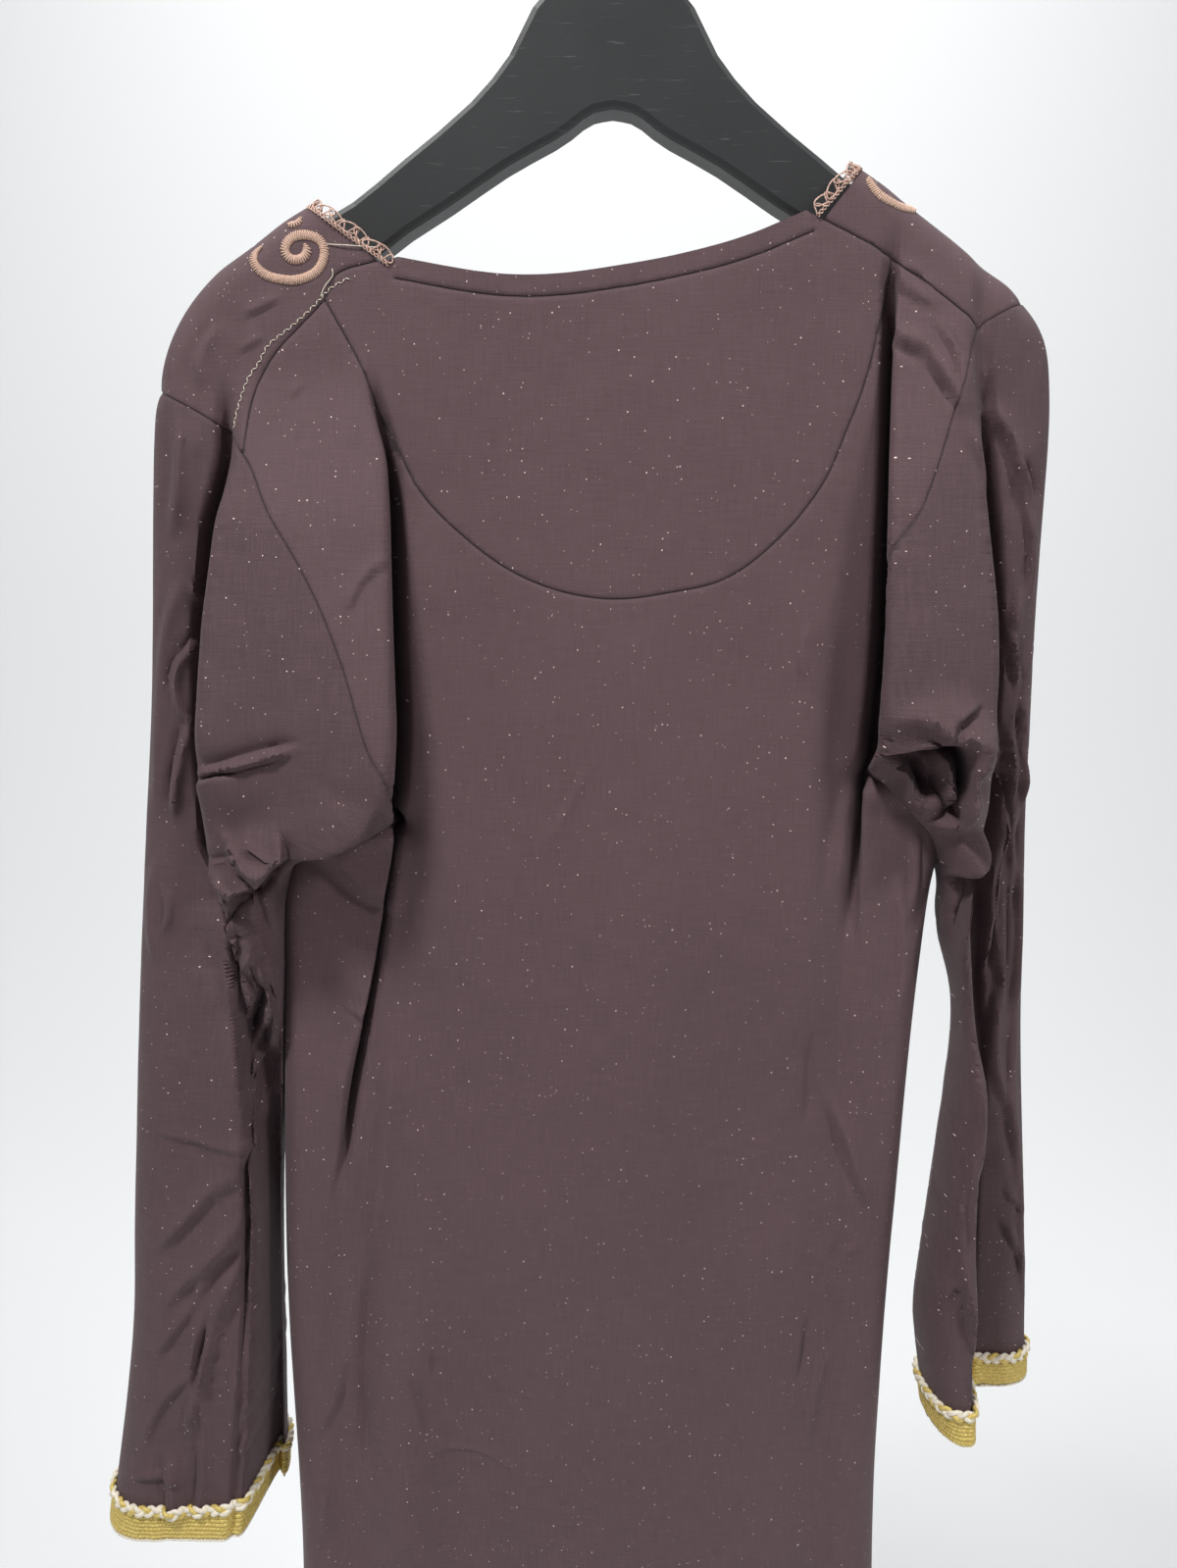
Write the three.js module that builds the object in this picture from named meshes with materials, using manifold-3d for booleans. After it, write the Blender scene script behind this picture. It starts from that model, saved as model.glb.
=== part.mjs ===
// Kaftan on a hanger, seen from its back (-Y). Millimetres, +Z up, origin where the hook hangs on its rail.
// The cloth is worked out from two drawings of the garment, back and front, that share their folded edges.
import * as THREE from 'three'
import { mergeVertices } from 'three/addons/utils/BufferGeometryUtils.js'
import Module from 'manifold-3d'

const wasm = await Module()
wasm.setup()

// ------------------------------------------------------------------ driving dimensions
const CLOTH = 1.5 // wall of the cloth as modelled
const GAP = 0.3 // between two pieces at a seam
const CENTRE_BACK = -22 // depth of the flat centre of the back
const CENTRE_FRONT = 22 // depth of the flat centre of the front
const HEM_Z = -1500
const HUG = 3 * GAP // a trim's distance from the cloth it lies on
const CUFF_BAND = 22 // height of the gold braid at a cuff
const CUFF_THICK = 1.6
const NECK_BAND = 9.5 // width of the bound back neckline
const LACE_WIDTH = 8 // chain lace where it crosses the shoulder
const LACE_THICK = 1.4
const HANGER_THICK = 20
const HOOK_ROD = 4 // radius of the moulded hook

const cloth = { color: 0x5f4f54, roughness: 0.82, metalness: 0.0 }
const gold = { color: 0xc2a35a, roughness: 0.45, metalness: 0.5 }
const rose = { color: 0xb98d7c, roughness: 0.5, metalness: 0.35 }
const black = { color: 0x1b1c1e, roughness: 0.42, metalness: 0.0 }

// ------------------------------------------------------------------ folded edges, as drawn from the back
// x, z: where back and front meet; y: depth of the fold; r: how far in the sheets reach their full depth
const ridgeLeft = [
  { x: -139.5, z: -167, y: 0, r: 15 },
  { x: -155, z: -176, y: 0, r: 15 },
  { x: -170.5, z: -187, y: 0, r: 15 },
  { x: -186, z: -197, y: 0, r: 15 },
  { x: -200.5, z: -211.5, y: 0, r: 15 },
  { x: -211.5, z: -229, y: 0, r: 15 },
  { x: -219.6, z: -252, y: 0, r: 15 },
]
const ridgeRight = [
  { x: 111.5, z: -150, y: 0, r: 15 },
  { x: 127, z: -160, y: 0, r: 15 },
  { x: 142.5, z: -171, y: 0, r: 15 },
  { x: 160, z: -183.5, y: 0, r: 15 },
  { x: 176.5, z: -196, y: 0, r: 15 },
  { x: 188, z: -203.5, y: 0, r: 15 },
  { x: 197, z: -211, y: 0, r: 15 },
]
const outerLeft = [
  { x: -219.6, z: -252, y: 0, r: 15 },
  { x: -222, z: -268, y: 0, r: 15 },
  { x: -231.5, z: -395, y: -2, r: 14 },
  { x: -242.5, z: -514, y: -6, r: 14 },
  { x: -253.5, z: -665, y: -12, r: 14 },
  { x: -258.5, z: -742, y: -16, r: 14 },
  { x: -273, z: -835, y: -18, r: 14 },
  { x: -276, z: -853, y: -18, r: 14 },
]
const outerRight = [
  { x: 197, z: -211, y: 0, r: 15 },
  { x: 207.5, z: -229, y: 0, r: 15 },
  { x: 212.5, z: -255, y: 2, r: 14 },
  { x: 213.5, z: -346, y: 4, r: 13 },
  { x: 217, z: -460, y: 8, r: 12 },
  { x: 223.5, z: -580, y: 12, r: 12 },
  { x: 231, z: -665, y: 14, r: 12 },
  { x: 238, z: -740, y: 18, r: 12 },
  { x: 242, z: -797, y: 20, r: 12 },
]
const innerLeft = [
  { x: -107, z: -463, y: 0, r: 18 },
  { x: -120, z: -468, y: -24, r: 16 },
  { x: -137, z: -474, y: -38, r: 14 },
  { x: -157, z: -480, y: -34, r: 14 },
  { x: -169, z: -497, y: -20, r: 12 },
  { x: -172, z: -545, y: -10, r: 10 },
  { x: -179, z: -607, y: 2, r: 8 },
  { x: -184, z: -724, y: 4, r: 8 },
  { x: -187, z: -835, y: 4, r: 8 },
  { x: -188, z: -853, y: 4, r: 8 },
]
const innerRight = [
  { x: 129, z: -439, y: 0, r: 18 },
  { x: 138, z: -444, y: -24, r: 16 },
  { x: 148, z: -455, y: -38, r: 14 },
  { x: 160, z: -468, y: -30, r: 14 },
  { x: 168, z: -490, y: -18, r: 12 },
  { x: 171, z: -520, y: -8, r: 12 },
  { x: 181, z: -563, y: -6, r: 12 },
  { x: 177, z: -640, y: -6, r: 12 },
  { x: 171, z: -705, y: -8, r: 12 },
  { x: 169, z: -740, y: -8, r: 12 },
  { x: 177, z: -797, y: -8, r: 12 },
]
const sideLeft = [
  { x: -107, z: -463, y: 0, r: 18 },
  { x: -116, z: -477, y: 0, r: 16 },
  { x: -136, z: -482, y: 0, r: 14 },
  { x: -154, z: -491, y: 0, r: 12 },
  { x: -163, z: -506, y: 0, r: 12 },
  { x: -166, z: -540, y: 0, r: 12 },
  { x: -172, z: -603, y: 0, r: 12 },
  { x: -177, z: -717, y: 0, r: 12 },
  { x: -176, z: -902, y: 0, r: 14 },
  { x: -190, z: -1200, y: 0, r: 18 },
  { x: -215, z: HEM_Z, y: 0, r: 20 },
]
const sideRight = [
  { x: 129, z: -439, y: 0, r: 18 },
  { x: 136, z: -453, y: 0, r: 16 },
  { x: 148, z: -463, y: 0, r: 14 },
  { x: 157, z: -477, y: 0, r: 12 },
  { x: 161.5, z: -498, y: 0, r: 12 },
  { x: 161, z: -548, y: 0, r: 12 },
  { x: 156, z: -646, y: 0, r: 12 },
  { x: 151, z: -780, y: 0, r: 12 },
  { x: 152, z: -902, y: 0, r: 14 },
  { x: 170, z: -1200, y: 0, r: 18 },
  { x: 195, z: HEM_Z, y: 0, r: 20 },
]
// ------------------------------------------------------------------ open edges and seams, x and z as drawn
const armholeLeft = [
  { x: -219.6, z: -252 },
  { x: -205, z: -259 },
  { x: -185, z: -271 },
  { x: -172, z: -284 },
  { x: -160, z: -311 },
  { x: -147, z: -333 },
  { x: -135, z: -357 },
  { x: -125, z: -384 },
  { x: -117, z: -413 },
  { x: -110, z: -440 },
  { x: -107, z: -463 },
]
const armholeRight = [
  { x: 197, z: -211 },
  { x: 183, z: -218 },
  { x: 171, z: -226 },
  { x: 166, z: -238 },
  { x: 159, z: -261 },
  { x: 151, z: -287 },
  { x: 142, z: -314 },
  { x: 135, z: -340 },
  { x: 131.5, z: -374 },
  { x: 130, z: -408 },
  { x: 129, z: -439 },
]
const neckBack = [
  { x: -99.5, z: -195 },
  { x: -56.5, z: -202 },
  { x: -29.5, z: -202.5 },
  { x: -2.5, z: -199.5 },
  { x: 33.5, z: -193 },
  { x: 60.5, z: -186 },
  { x: 88.5, z: -175 },
]
const neckFront = [
  { x: -139.5, z: -167 },
  { x: -118, z: -214 },
  { x: -86, z: -258 },
  { x: -44, z: -285 },
  { x: -8, z: -291 },
  { x: 32, z: -280 },
  { x: 68, z: -248 },
  { x: 95, z: -202 },
  { x: 111.5, z: -150 },
]
const shoulderSeamLeft = [
  { x: -99.5, z: -195 },
  { x: -128.5, z: -203 },
  { x: -134, z: -213.5 },
  { x: -159, z: -239 },
  { x: -168, z: -256 },
  { x: -172, z: -284 },
]
const shoulderSeamRight = [
  { x: 88.5, z: -175 },
  { x: 128, z: -195 },
  { x: 171, z: -226 },
]
const yokeSeam = [
  { x: -134, z: -213.5 },
  { x: -118, z: -243 },
  { x: -107, z: -268 },
  { x: -92, z: -300 },
  { x: -73, z: -320 },
  { x: -50, z: -337 },
  { x: -26, z: -347 },
  { x: 0, z: -351 },
  { x: 27, z: -348 },
  { x: 55, z: -341 },
  { x: 82, z: -320 },
  { x: 101, z: -295 },
  { x: 110, z: -273 },
  { x: 118, z: -251 },
  { x: 124, z: -224 },
  { x: 128, z: -195 },
]
// ------------------------------------------------------------------ depth of the cloth, a row per height
// gap: the dark fold between the outer strip of the sleeve and the bag of cloth beside it
// tuck: the deep fold between that bag and the flat centre; outer, bag, strip: depths of the back sheet
const foldsLeft = [
  { z: -250, gap: -182, gapIn: 0, outer: -20, bag: -22, tuck: -114, tuckIn: 0, strip: -22, frontOuter: 20, frontBag: 24 },
  { z: -285, gap: -183, gapIn: 8, outer: -22, bag: -32, tuck: -105, tuckIn: 8, strip: -22, frontOuter: 20, frontBag: 30 },
  { z: -315, gap: -192, gapIn: 14, outer: -22, bag: -42, tuck: -104, tuckIn: 12, strip: -22, frontOuter: 20, frontBag: 34 },
  { z: -365, gap: -199, gapIn: 18, outer: -22, bag: -50, tuck: -104, tuckIn: 16, strip: -22, frontOuter: 20, frontBag: 36 },
  { z: -413, gap: -202, gapIn: 20, outer: -22, bag: -56, tuck: -103, tuckIn: 17, strip: -22, frontOuter: 18, frontBag: 34 },
  { z: -440, gap: -202, gapIn: 20, outer: -22, bag: -56, tuck: -105, tuckIn: 16, strip: -20, frontOuter: 18, frontBag: 30 },
  { z: -480, gap: -201, gapIn: 20, outer: -24, bag: -46, tuck: -111, tuckIn: 14, strip: -19, frontOuter: 16, frontBag: 22 },
  { z: -544, gap: -196, gapIn: 18, outer: -30, bag: -32, tuck: -122, tuckIn: 10, strip: -22, frontOuter: 10, frontBag: 18 },
  { z: -600, gap: -193, gapIn: 8, outer: -34, bag: -16, tuck: -134, tuckIn: 5, strip: -24, frontOuter: 4, frontBag: 17 },
  { z: -660, gap: -194, gapIn: 3, outer: -38, bag: -8, tuck: -144, tuckIn: 0, strip: -24, frontOuter: 0, frontBag: 16 },
  { z: -755, gap: -198, gapIn: 2, outer: -40, bag: -8, tuck: -150, tuckIn: 0, strip: -25, frontOuter: -4, frontBag: 16 },
  { z: -853, gap: -204, gapIn: 2, outer: -42, bag: -8, tuck: -150, tuckIn: 0, strip: -25, frontOuter: -4, frontBag: 16 },
]
const foldsRight = [
  { z: -190, gap: 178, gapIn: 0, outer: -14, bag: -20, tuck: 126, tuckIn: 0, strip: -22, frontOuter: 20, frontBag: 24 },
  { z: -231, gap: 174, gapIn: 5, outer: -17, bag: -26, tuck: 127, tuckIn: 10, strip: -22, frontOuter: 22, frontBag: 28 },
  { z: -291, gap: 180, gapIn: 9, outer: -16, bag: -38, tuck: 128, tuckIn: 16, strip: -22, frontOuter: 24, frontBag: 34 },
  { z: -365, gap: 189, gapIn: 9, outer: -13, bag: -48, tuck: 128, tuckIn: 17, strip: -22, frontOuter: 26, frontBag: 34 },
  { z: -393, gap: 190, gapIn: 9, outer: -11, bag: -50, tuck: 126, tuckIn: 17, strip: -22, frontOuter: 27, frontBag: 32 },
  { z: -432, gap: 189, gapIn: 9, outer: -9, bag: -46, tuck: 123, tuckIn: 14, strip: -21, frontOuter: 27, frontBag: 26 },
  { z: -467, gap: 188, gapIn: 8, outer: -7, bag: -42, tuck: 121, tuckIn: 6, strip: -23, frontOuter: 27, frontBag: 18 },
  { z: -523, gap: 189, gapIn: 6, outer: -5, bag: -38, tuck: 120, tuckIn: 0, strip: -25, frontOuter: 27, frontBag: 10 },
  { z: -598, gap: 199, gapIn: 4, outer: 0, bag: -38, tuck: 120, tuckIn: 0, strip: -26, frontOuter: 28, frontBag: 8 },
  { z: -690, gap: 200, gapIn: 3, outer: 4, bag: -40, tuck: 120, tuckIn: 0, strip: -26, frontOuter: 30, frontBag: 8 },
  { z: -797, gap: 204, gapIn: 3, outer: 8, bag: -42, tuck: 120, tuckIn: 0, strip: -26, frontOuter: 32, frontBag: 8 },
]
// long soft creases: from (x0, z0) to (x1, z1), half width and height towards the viewer
const creases = [
  { name: 'under yoke, left', x0: -92, z0: -300, x1: -86, z1: -560, width: 16, out: 4 },
  { name: 'under yoke, right', x0: 92, z0: -320, x1: 100, z1: -640, width: 15, out: 5 },
  { name: 'centre fall', x0: 14, z0: -420, x1: 6, z1: -1100, width: 34, out: 4 },
  { name: 'right fall', x0: 82, z0: -640, x1: 96, z1: -1250, width: 20, out: 6 },
  { name: 'left fall', x0: -112, z0: -660, x1: -126, z1: -1250, width: 18, out: 7 },
  { name: 'left hollow', x0: -70, z0: -700, x1: -84, z1: -1250, width: 22, out: -6 },
]

// ------------------------------------------------------------------ drawing helpers
const clamp01 = (t) => Math.min(1, Math.max(0, t))
const smooth = (t) => clamp01(t) ** 2 * (3 - 2 * clamp01(t))
const mix = (a, b, t) => a + (b - a) * t

function rowAt(table, z) {
  const rows = table.length - 1
  let i = 0
  while (i < rows - 1 && z < table[i + 1].z) i += 1
  const t = clamp01((table[i].z - z) / (table[i].z - table[i + 1].z))
  const out = {}
  for (const key of Object.keys(table[0])) out[key] = mix(table[i][key], table[i + 1][key], t)
  return out
}

function smoothPath(table, pieces) {
  // the table's points joined by a centripetal spline, sampled evenly, keeping every other column
  const keys = Object.keys(table[0])
  const curve = new THREE.CatmullRomCurve3(table.map((p) => new THREE.Vector3(p.x, p.z, 0)))
  const out = []
  for (let i = 0; i <= pieces; i += 1) {
    const t = i / pieces
    const at = curve.getPoint(t)
    const k = Math.min(table.length - 2, Math.floor(t * (table.length - 1)))
    const f = t * (table.length - 1) - k
    const row = { x: at.x, z: at.y }
    for (const key of keys) {
      if (key !== 'x' && key !== 'z') row[key] = mix(table[k][key], table[k + 1][key], f)
    }
    out.push(row)
  }
  return out
}

function nearest(path, x, z) {
  let best = { d: Infinity, y: 0, r: 1 }
  for (let i = 0; i < path.length - 1; i += 1) {
    const p = path[i]
    const q = path[i + 1]
    const ux = q.x - p.x
    const uz = q.z - p.z
    const t = clamp01(((x - p.x) * ux + (z - p.z) * uz) / (ux * ux + uz * uz))
    const d = Math.hypot(x - p.x - ux * t, z - p.z - uz * t)
    if (d < best.d) best = { d, y: mix(p.y, q.y, t), r: mix(p.r, q.r, t) }
  }
  return best
}

function creaseAt(x, z) {
  let sum = 0
  for (const c of creases) {
    const ux = c.x1 - c.x0
    const uz = c.z1 - c.z0
    const along = ((x - c.x0) * ux + (z - c.z0) * uz) / (ux * ux + uz * uz)
    const d = ((x - c.x0) * uz - (z - c.z0) * ux) / Math.hypot(ux, uz)
    const ends = smooth(along / 0.2) * smooth((1 - along) / 0.3)
    sum += c.out * ends * Math.exp(-((d / c.width) ** 2))
  }
  return sum
}

const paths = {
  ridgeLeft: smoothPath(ridgeLeft, 18),
  ridgeRight: smoothPath(ridgeRight, 18),
  outerLeft: smoothPath(outerLeft, 40),
  outerRight: smoothPath(outerRight, 40),
  innerLeft: smoothPath(innerLeft, 50),
  innerRight: smoothPath(innerRight, 50),
  sideLeft: smoothPath(sideLeft, 44),
  sideRight: smoothPath(sideRight, 44),
}
const edgesOf = {
  body: [paths.ridgeLeft, paths.ridgeRight, paths.outerLeft, paths.outerRight, paths.sideLeft, paths.sideRight],
  left: [paths.ridgeLeft, paths.outerLeft, paths.innerLeft],
  right: [paths.ridgeRight, paths.outerRight, paths.innerRight],
}
const armLeft = smoothPath(armholeLeft, 60)
const armRight = smoothPath(armholeRight, 60)
const UNDERARM_LEFT = innerLeft[0].z
const UNDERARM_RIGHT = innerRight[0].z

// depth of the open cloth at a point of the drawing, before it turns over at its edges
function fullDepth(piece, face, x, z) {
  const left = x < 8
  const row = rowAt(left ? foldsLeft : foldsRight, z)
  const sign = left ? 1 : -1
  const under = left ? UNDERARM_LEFT : UNDERARM_RIGHT
  const below = piece === 'body' ? smooth((under + 15 - z) / 34) : 0
  const hem = smooth((-950 - z) / 450)
  const flute = 13 * hem * Math.cos(x / 20 + (face === 'back' ? 0.4 : 2.1))
  const fromTuck = (x - row.tuck) * sign
  const fromGap = (x - row.gap) * sign
  const flat = smooth((fromTuck + 9) / 15)
  const inBag = smooth((fromGap + 6) / 12)
  if (face === 'front') {
    const bag = mix(row.frontBag, CENTRE_FRONT, below)
    const side = mix(row.frontOuter, bag, piece === 'body' ? 1 : inBag)
    return mix(side, CENTRE_FRONT + 8 * hem, smooth((fromTuck + 20) / 44)) + flute
  }
  const bag = mix(row.bag, row.strip, below)
  const side = mix(row.outer, bag, piece === 'body' && z < under ? 1 : inBag)
  const gap = piece === 'body' && z < under ? 0 : row.gapIn * Math.exp(-((fromGap / 6) ** 2))
  const tuck = row.tuckIn * Math.exp(-(((fromTuck - 1) / 6) ** 2))
  const soft = z < -230 && piece === 'body' ? creaseAt(x, z) * flat : 0
  return mix(side, CENTRE_BACK - 8 * hem, flat) + gap + tuck - soft + flute
}

// a point of the cloth from its place in the drawing
function pointOf(piece, face, x, z) {
  let y = fullDepth(piece, face, x, z)
  for (const path of edgesOf[piece]) {
    const e = nearest(path, x, z)
    const t = clamp01(e.d / e.r)
    y = mix(e.y, y, Math.sqrt(1 - (1 - t) ** 2))
  }
  return new THREE.Vector3(x, y, z)
}

// ------------------------------------------------------------------ sheets of cloth
function lengths(path) {
  const out = [0]
  for (let i = 1; i < path.length; i += 1) {
    out.push(out[i - 1] + Math.hypot(path[i].x - path[i - 1].x, path[i].z - path[i - 1].z))
  }
  return out
}

function along(path, share) {
  const at = lengths(path)
  const want = clamp01(share) * at[at.length - 1]
  let i = 0
  while (i < at.length - 2 && at[i + 1] < want) i += 1
  const t = (want - at[i]) / (at[i + 1] - at[i])
  return { x: mix(path[i].x, path[i + 1].x, t), z: mix(path[i].z, path[i + 1].z, t) }
}

function even(path, cells) {
  return Array.from({ length: cells + 1 }, (_, i) => along(path, i / cells))
}

// closer together at the two ends, where the edge comes over the ridge
function dense(path, cells, first) {
  return Array.from({ length: cells + 1 }, (_, i) => {
    if (i === 0 || i === cells) return along(path, i / cells)
    return along(path, first + ((1 - 2 * first) * (i - 1)) / (cells - 2))
  })
}

// shares of the way down from the shoulder to the underarm, closer together near the folded ridge
const UP_SHARES = [0, 0.035, 0.1, 0.2, 0.32, 0.46, 0.6, 0.75, 0.88, 1]
const TUCK_COLUMNS = [7, 17] // columns of the body that follow the two tucks
const [NECK_FROM, NECK_TO] = [5, 17] // columns where the neckline meets the two ridges
const SIDE_REACH = 0.3 // share of the width that follows an armhole's curve
const TUCK_HALF = 8 // from the middle of a tuck to the next column

// moves the columns of one row so that two of them lie in the tucks
function followTucks(row, share, middle = share) {
  const [a, b] = TUCK_COLUMNS
  const n = row.length - 1
  const want = [
    Math.max(rowAt(foldsLeft, row[a].z).tuck, row[0].x + TUCK_HALF),
    Math.min(rowAt(foldsRight, row[b].z).tuck, row[n].x - TUCK_HALF),
  ]
  const xa = mix(row[a].x, want[0], share)
  const xb = mix(row[b].x, want[1], share)
  const half = Math.min(TUCK_HALF, 0.2 * (xb - xa))
  return row.map((p, i) => {
    if (i <= a) {
      const was = (p.x - row[0].x) / (row[a].x - row[0].x)
      return { x: mix(row[0].x, xa, mix(was, i / a, share)), z: p.z }
    }
    if (i >= b) {
      const was = (row[n].x - p.x) / (row[n].x - row[b].x)
      return { x: mix(row[n].x, xb, mix(was, (n - i) / (n - b), share)), z: p.z }
    }
    const t = (i - a - 1) / (b - a - 2)
    return { x: mix(p.x, mix(xa + half, xb - half, t), middle), z: p.z }
  })
}

// rows of drawing points for a body sheet: a patch down to the underarms, then level rows to the hem
function bodyRows(top, downRows) {
  const n = top.length - 1
  const L = UP_SHARES.map((s) => along(armLeft, s))
  const R = UP_SHARES.map((s) => along(armRight, s))
  const end = UP_SHARES.length - 1
  const level = (l, r) => Array.from({ length: n + 1 }, (_, i) => ({ x: mix(l.x, r.x, i / n), z: mix(l.z, r.z, i / n) }))
  const low = followTucks(level(L[end], R[end]), 1)
  // straight falls from `upper` to the underarm level; only the columns next to an armhole bend with it
  const patch = (upper, first, j) => {
    const v = (UP_SHARES[j] - UP_SHARES[first]) / (1 - UP_SHARES[first])
    const bend = (arm, k) => arm[j][k] - mix(arm[first][k], arm[end][k], v)
    return upper.map((p, i) => {
      const u = i / n
      const nearLeft = clamp01(1 - u / SIDE_REACH) ** 1.5
      const nearRight = clamp01(1 - (1 - u) / SIDE_REACH) ** 1.5
      const at = (k) => mix(p[k], low[i][k], v) + nearLeft * bend(L, k) + nearRight * bend(R, k)
      return { x: at('x'), z: at('z') }
    })
  }
  const rim = offsetPath(top, -LACE_WIDTH) // the neckline's own first row lies under the lace
  const second = patch(top, 0, 1).map((p, i) => (i >= NECK_FROM && i <= NECK_TO ? rim[i] : p))
  const rows = [top, second]
  for (let j = 2; j <= end; j += 1) {
    const v = UP_SHARES[j]
    rows.push(followTucks(patch(second, 1, j), smooth(v / 0.3), smooth((v - 0.06) / 0.3)))
  }
  for (let j = 1; j <= downRows; j += 1) {
    const v = (j / downRows) ** 1.6
    const l = along(paths.sideLeft, v)
    const r = along(paths.sideRight, v)
    rows.push(followTucks(level(l, r), 1 - 0.7 * smooth((v - 0.1) / 0.3)))
  }
  return rows
}

const SLEEVE_CELLS = 12
const GAP_COLUMN = 5 // column of a sleeve that lies in the dark fold
const GAP_HALF = 7

// one row across a sleeve, from its outer edge to its inner one, with a column in the dark fold
function acrossSleeve(side, outer, inner) {
  const folds = side === 'left' ? foldsLeft : foldsRight
  const span = inner.x - outer.x
  let t = 0.5
  for (let k = 0; k < 6; k += 1) t = clamp01((rowAt(folds, mix(outer.z, inner.z, t)).gap - outer.x) / span)
  t = Math.min(0.68, Math.max(0.32, t))
  const half = Math.min(0.16, GAP_HALF / Math.abs(span))
  const stops = [0, t - half, t, t + half, 1]
  const at = [0, GAP_COLUMN - 1, GAP_COLUMN, GAP_COLUMN + 1, SLEEVE_CELLS]
  return Array.from({ length: SLEEVE_CELLS + 1 }, (_, i) => {
    let k = 0
    while (k < 3 && i > at[k + 1]) k += 1
    const f = mix(stops[k], stops[k + 1], (i - at[k]) / (at[k + 1] - at[k]))
    return { x: mix(outer.x, inner.x, f), z: mix(outer.z, inner.z, f) }
  })
}

// rows of drawing points for a sleeve sheet, from its shoulder point to its cuff
function sleeveRows(side, armhole, inner, outer, turn, down) {
  const away = side === 'left' ? -2.5 * GAP : 2.5 * GAP
  const arm = offsetPath(UP_SHARES.map((s) => along(armhole, s)), away)
  arm[arm.length - 1] = { x: arm[arm.length - 1].x + 3 * away, z: arm[arm.length - 1].z + 6 * GAP }
  const rows = UP_SHARES.map((s, j) => acrossSleeve(side, along(outer, 0.012 + 0.25 * s), arm[j]))
  const tip = { x: arm[0].x, z: arm[0].z - GAP }
  rows[0] = rows[0].map(() => tip)
  for (let j = 1; j <= turn; j += 1) {
    rows.push(acrossSleeve(side, along(outer, 0.262 + (0.138 * j) / turn), along(inner, (0.2 * j) / turn)))
  }
  for (let j = 1; j <= down; j += 1) {
    rows.push(acrossSleeve(side, along(outer, 0.4 + (0.6 * j) / down), along(inner, 0.2 + (0.8 * j) / down)))
  }
  return rows
}

// a surface under construction: points joined where they coincide, and its triangles
class Sheet {
  constructor() {
    this.points = []
    this.faces = []
    this.places = new Map()
  }
  add(p) {
    const key = [p.x, p.y, p.z].map((c) => Math.round(c * 50)).join(' ')
    if (!this.places.has(key)) {
      this.places.set(key, this.points.length)
      this.points.push(p)
    }
    return this.places.get(key)
  }
  face(a, b, c) {
    if (a !== b && b !== c && c !== a) this.faces.push([a, b, c])
  }
  grid(rows, turned) {
    const at = rows.map((row) => row.map((p) => this.add(p)))
    for (let j = 0; j < at.length - 1; j += 1) {
      for (let i = 0; i < at[0].length - 1; i += 1) {
        const quad = [at[j][i], at[j + 1][i], at[j + 1][i + 1], at[j][i + 1]]
        if (turned) quad.reverse()
        this.face(quad[0], quad[1], quad[2])
        this.face(quad[0], quad[2], quad[3])
      }
    }
    return at
  }
  normals() {
    const out = this.points.map(() => new THREE.Vector3())
    for (const [a, b, c] of this.faces) {
      const p = this.points[a]
      const n = this.points[b].clone().sub(p).cross(this.points[c].clone().sub(p))
      for (const k of [a, b, c]) out[k].add(n)
    }
    return out.map((n) => n.normalize())
  }
}

function solidFrom(positions, faces) {
  const geometry = new THREE.BufferGeometry()
  geometry.setAttribute('position', new THREE.BufferAttribute(new Float32Array(positions), 3))
  geometry.setIndex(faces.flat())
  const merged = mergeVertices(geometry, 1e-4)
  const build = (tri) => new wasm.Manifold(new wasm.Mesh({
    numProp: 3, vertProperties: merged.attributes.position.array, triVerts: tri,
  }))
  const tri = new Uint32Array(merged.index.array)
  const made = build(tri)
  if (made.volume() > 0) return made
  for (let i = 0; i < tri.length; i += 3) [tri[i + 1], tri[i + 2]] = [tri[i + 2], tri[i + 1]]
  return build(tri)
}

// the sheet given a wall from `inside` to `outside` of its middle, rims closed
function thicken(sheet, inside, outside, given) {
  const normals = given || sheet.normals()
  const n = sheet.points.length
  const positions = []
  for (const depth of [outside, inside]) {
    sheet.points.forEach((p, i) => positions.push(...p.clone().addScaledVector(normals[i], depth).toArray()))
  }
  const faces = []
  const open = new Map()
  for (const [a, b, c] of sheet.faces) {
    faces.push([a, b, c], [n + a, n + c, n + b])
    for (const [p, q] of [[a, b], [b, c], [c, a]]) {
      if (open.has(q + ' ' + p)) open.delete(q + ' ' + p)
      else open.set(p + ' ' + q, [p, q])
    }
  }
  for (const [p, q] of open.values()) faces.push([p, n + p, n + q], [p, n + q, q])
  return solidFrom(positions, faces)
}

function prism(outline, y0, y1) {
  // the drawing outline (x, z) carried through from y0 to y1
  const shape = new THREE.Shape(outline.map((p) => new THREE.Vector2(p.x, p.z)))
  const geometry = new THREE.ExtrudeGeometry(shape, { depth: y1 - y0, bevelEnabled: false })
  geometry.rotateX(Math.PI / 2)
  geometry.translate(0, y1, 0)
  return fromGeometry(geometry)
}

function fromGeometry(geometry) {
  const bare = geometry.index ? geometry.toNonIndexed() : geometry.clone()
  bare.deleteAttribute('normal')
  bare.deleteAttribute('uv')
  const merged = mergeVertices(bare, 1e-4)
  const faces = []
  const index = merged.index.array
  for (let i = 0; i < index.length; i += 3) faces.push([index[i], index[i + 1], index[i + 2]])
  return solidFrom(Array.from(merged.attributes.position.array), faces)
}

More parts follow.
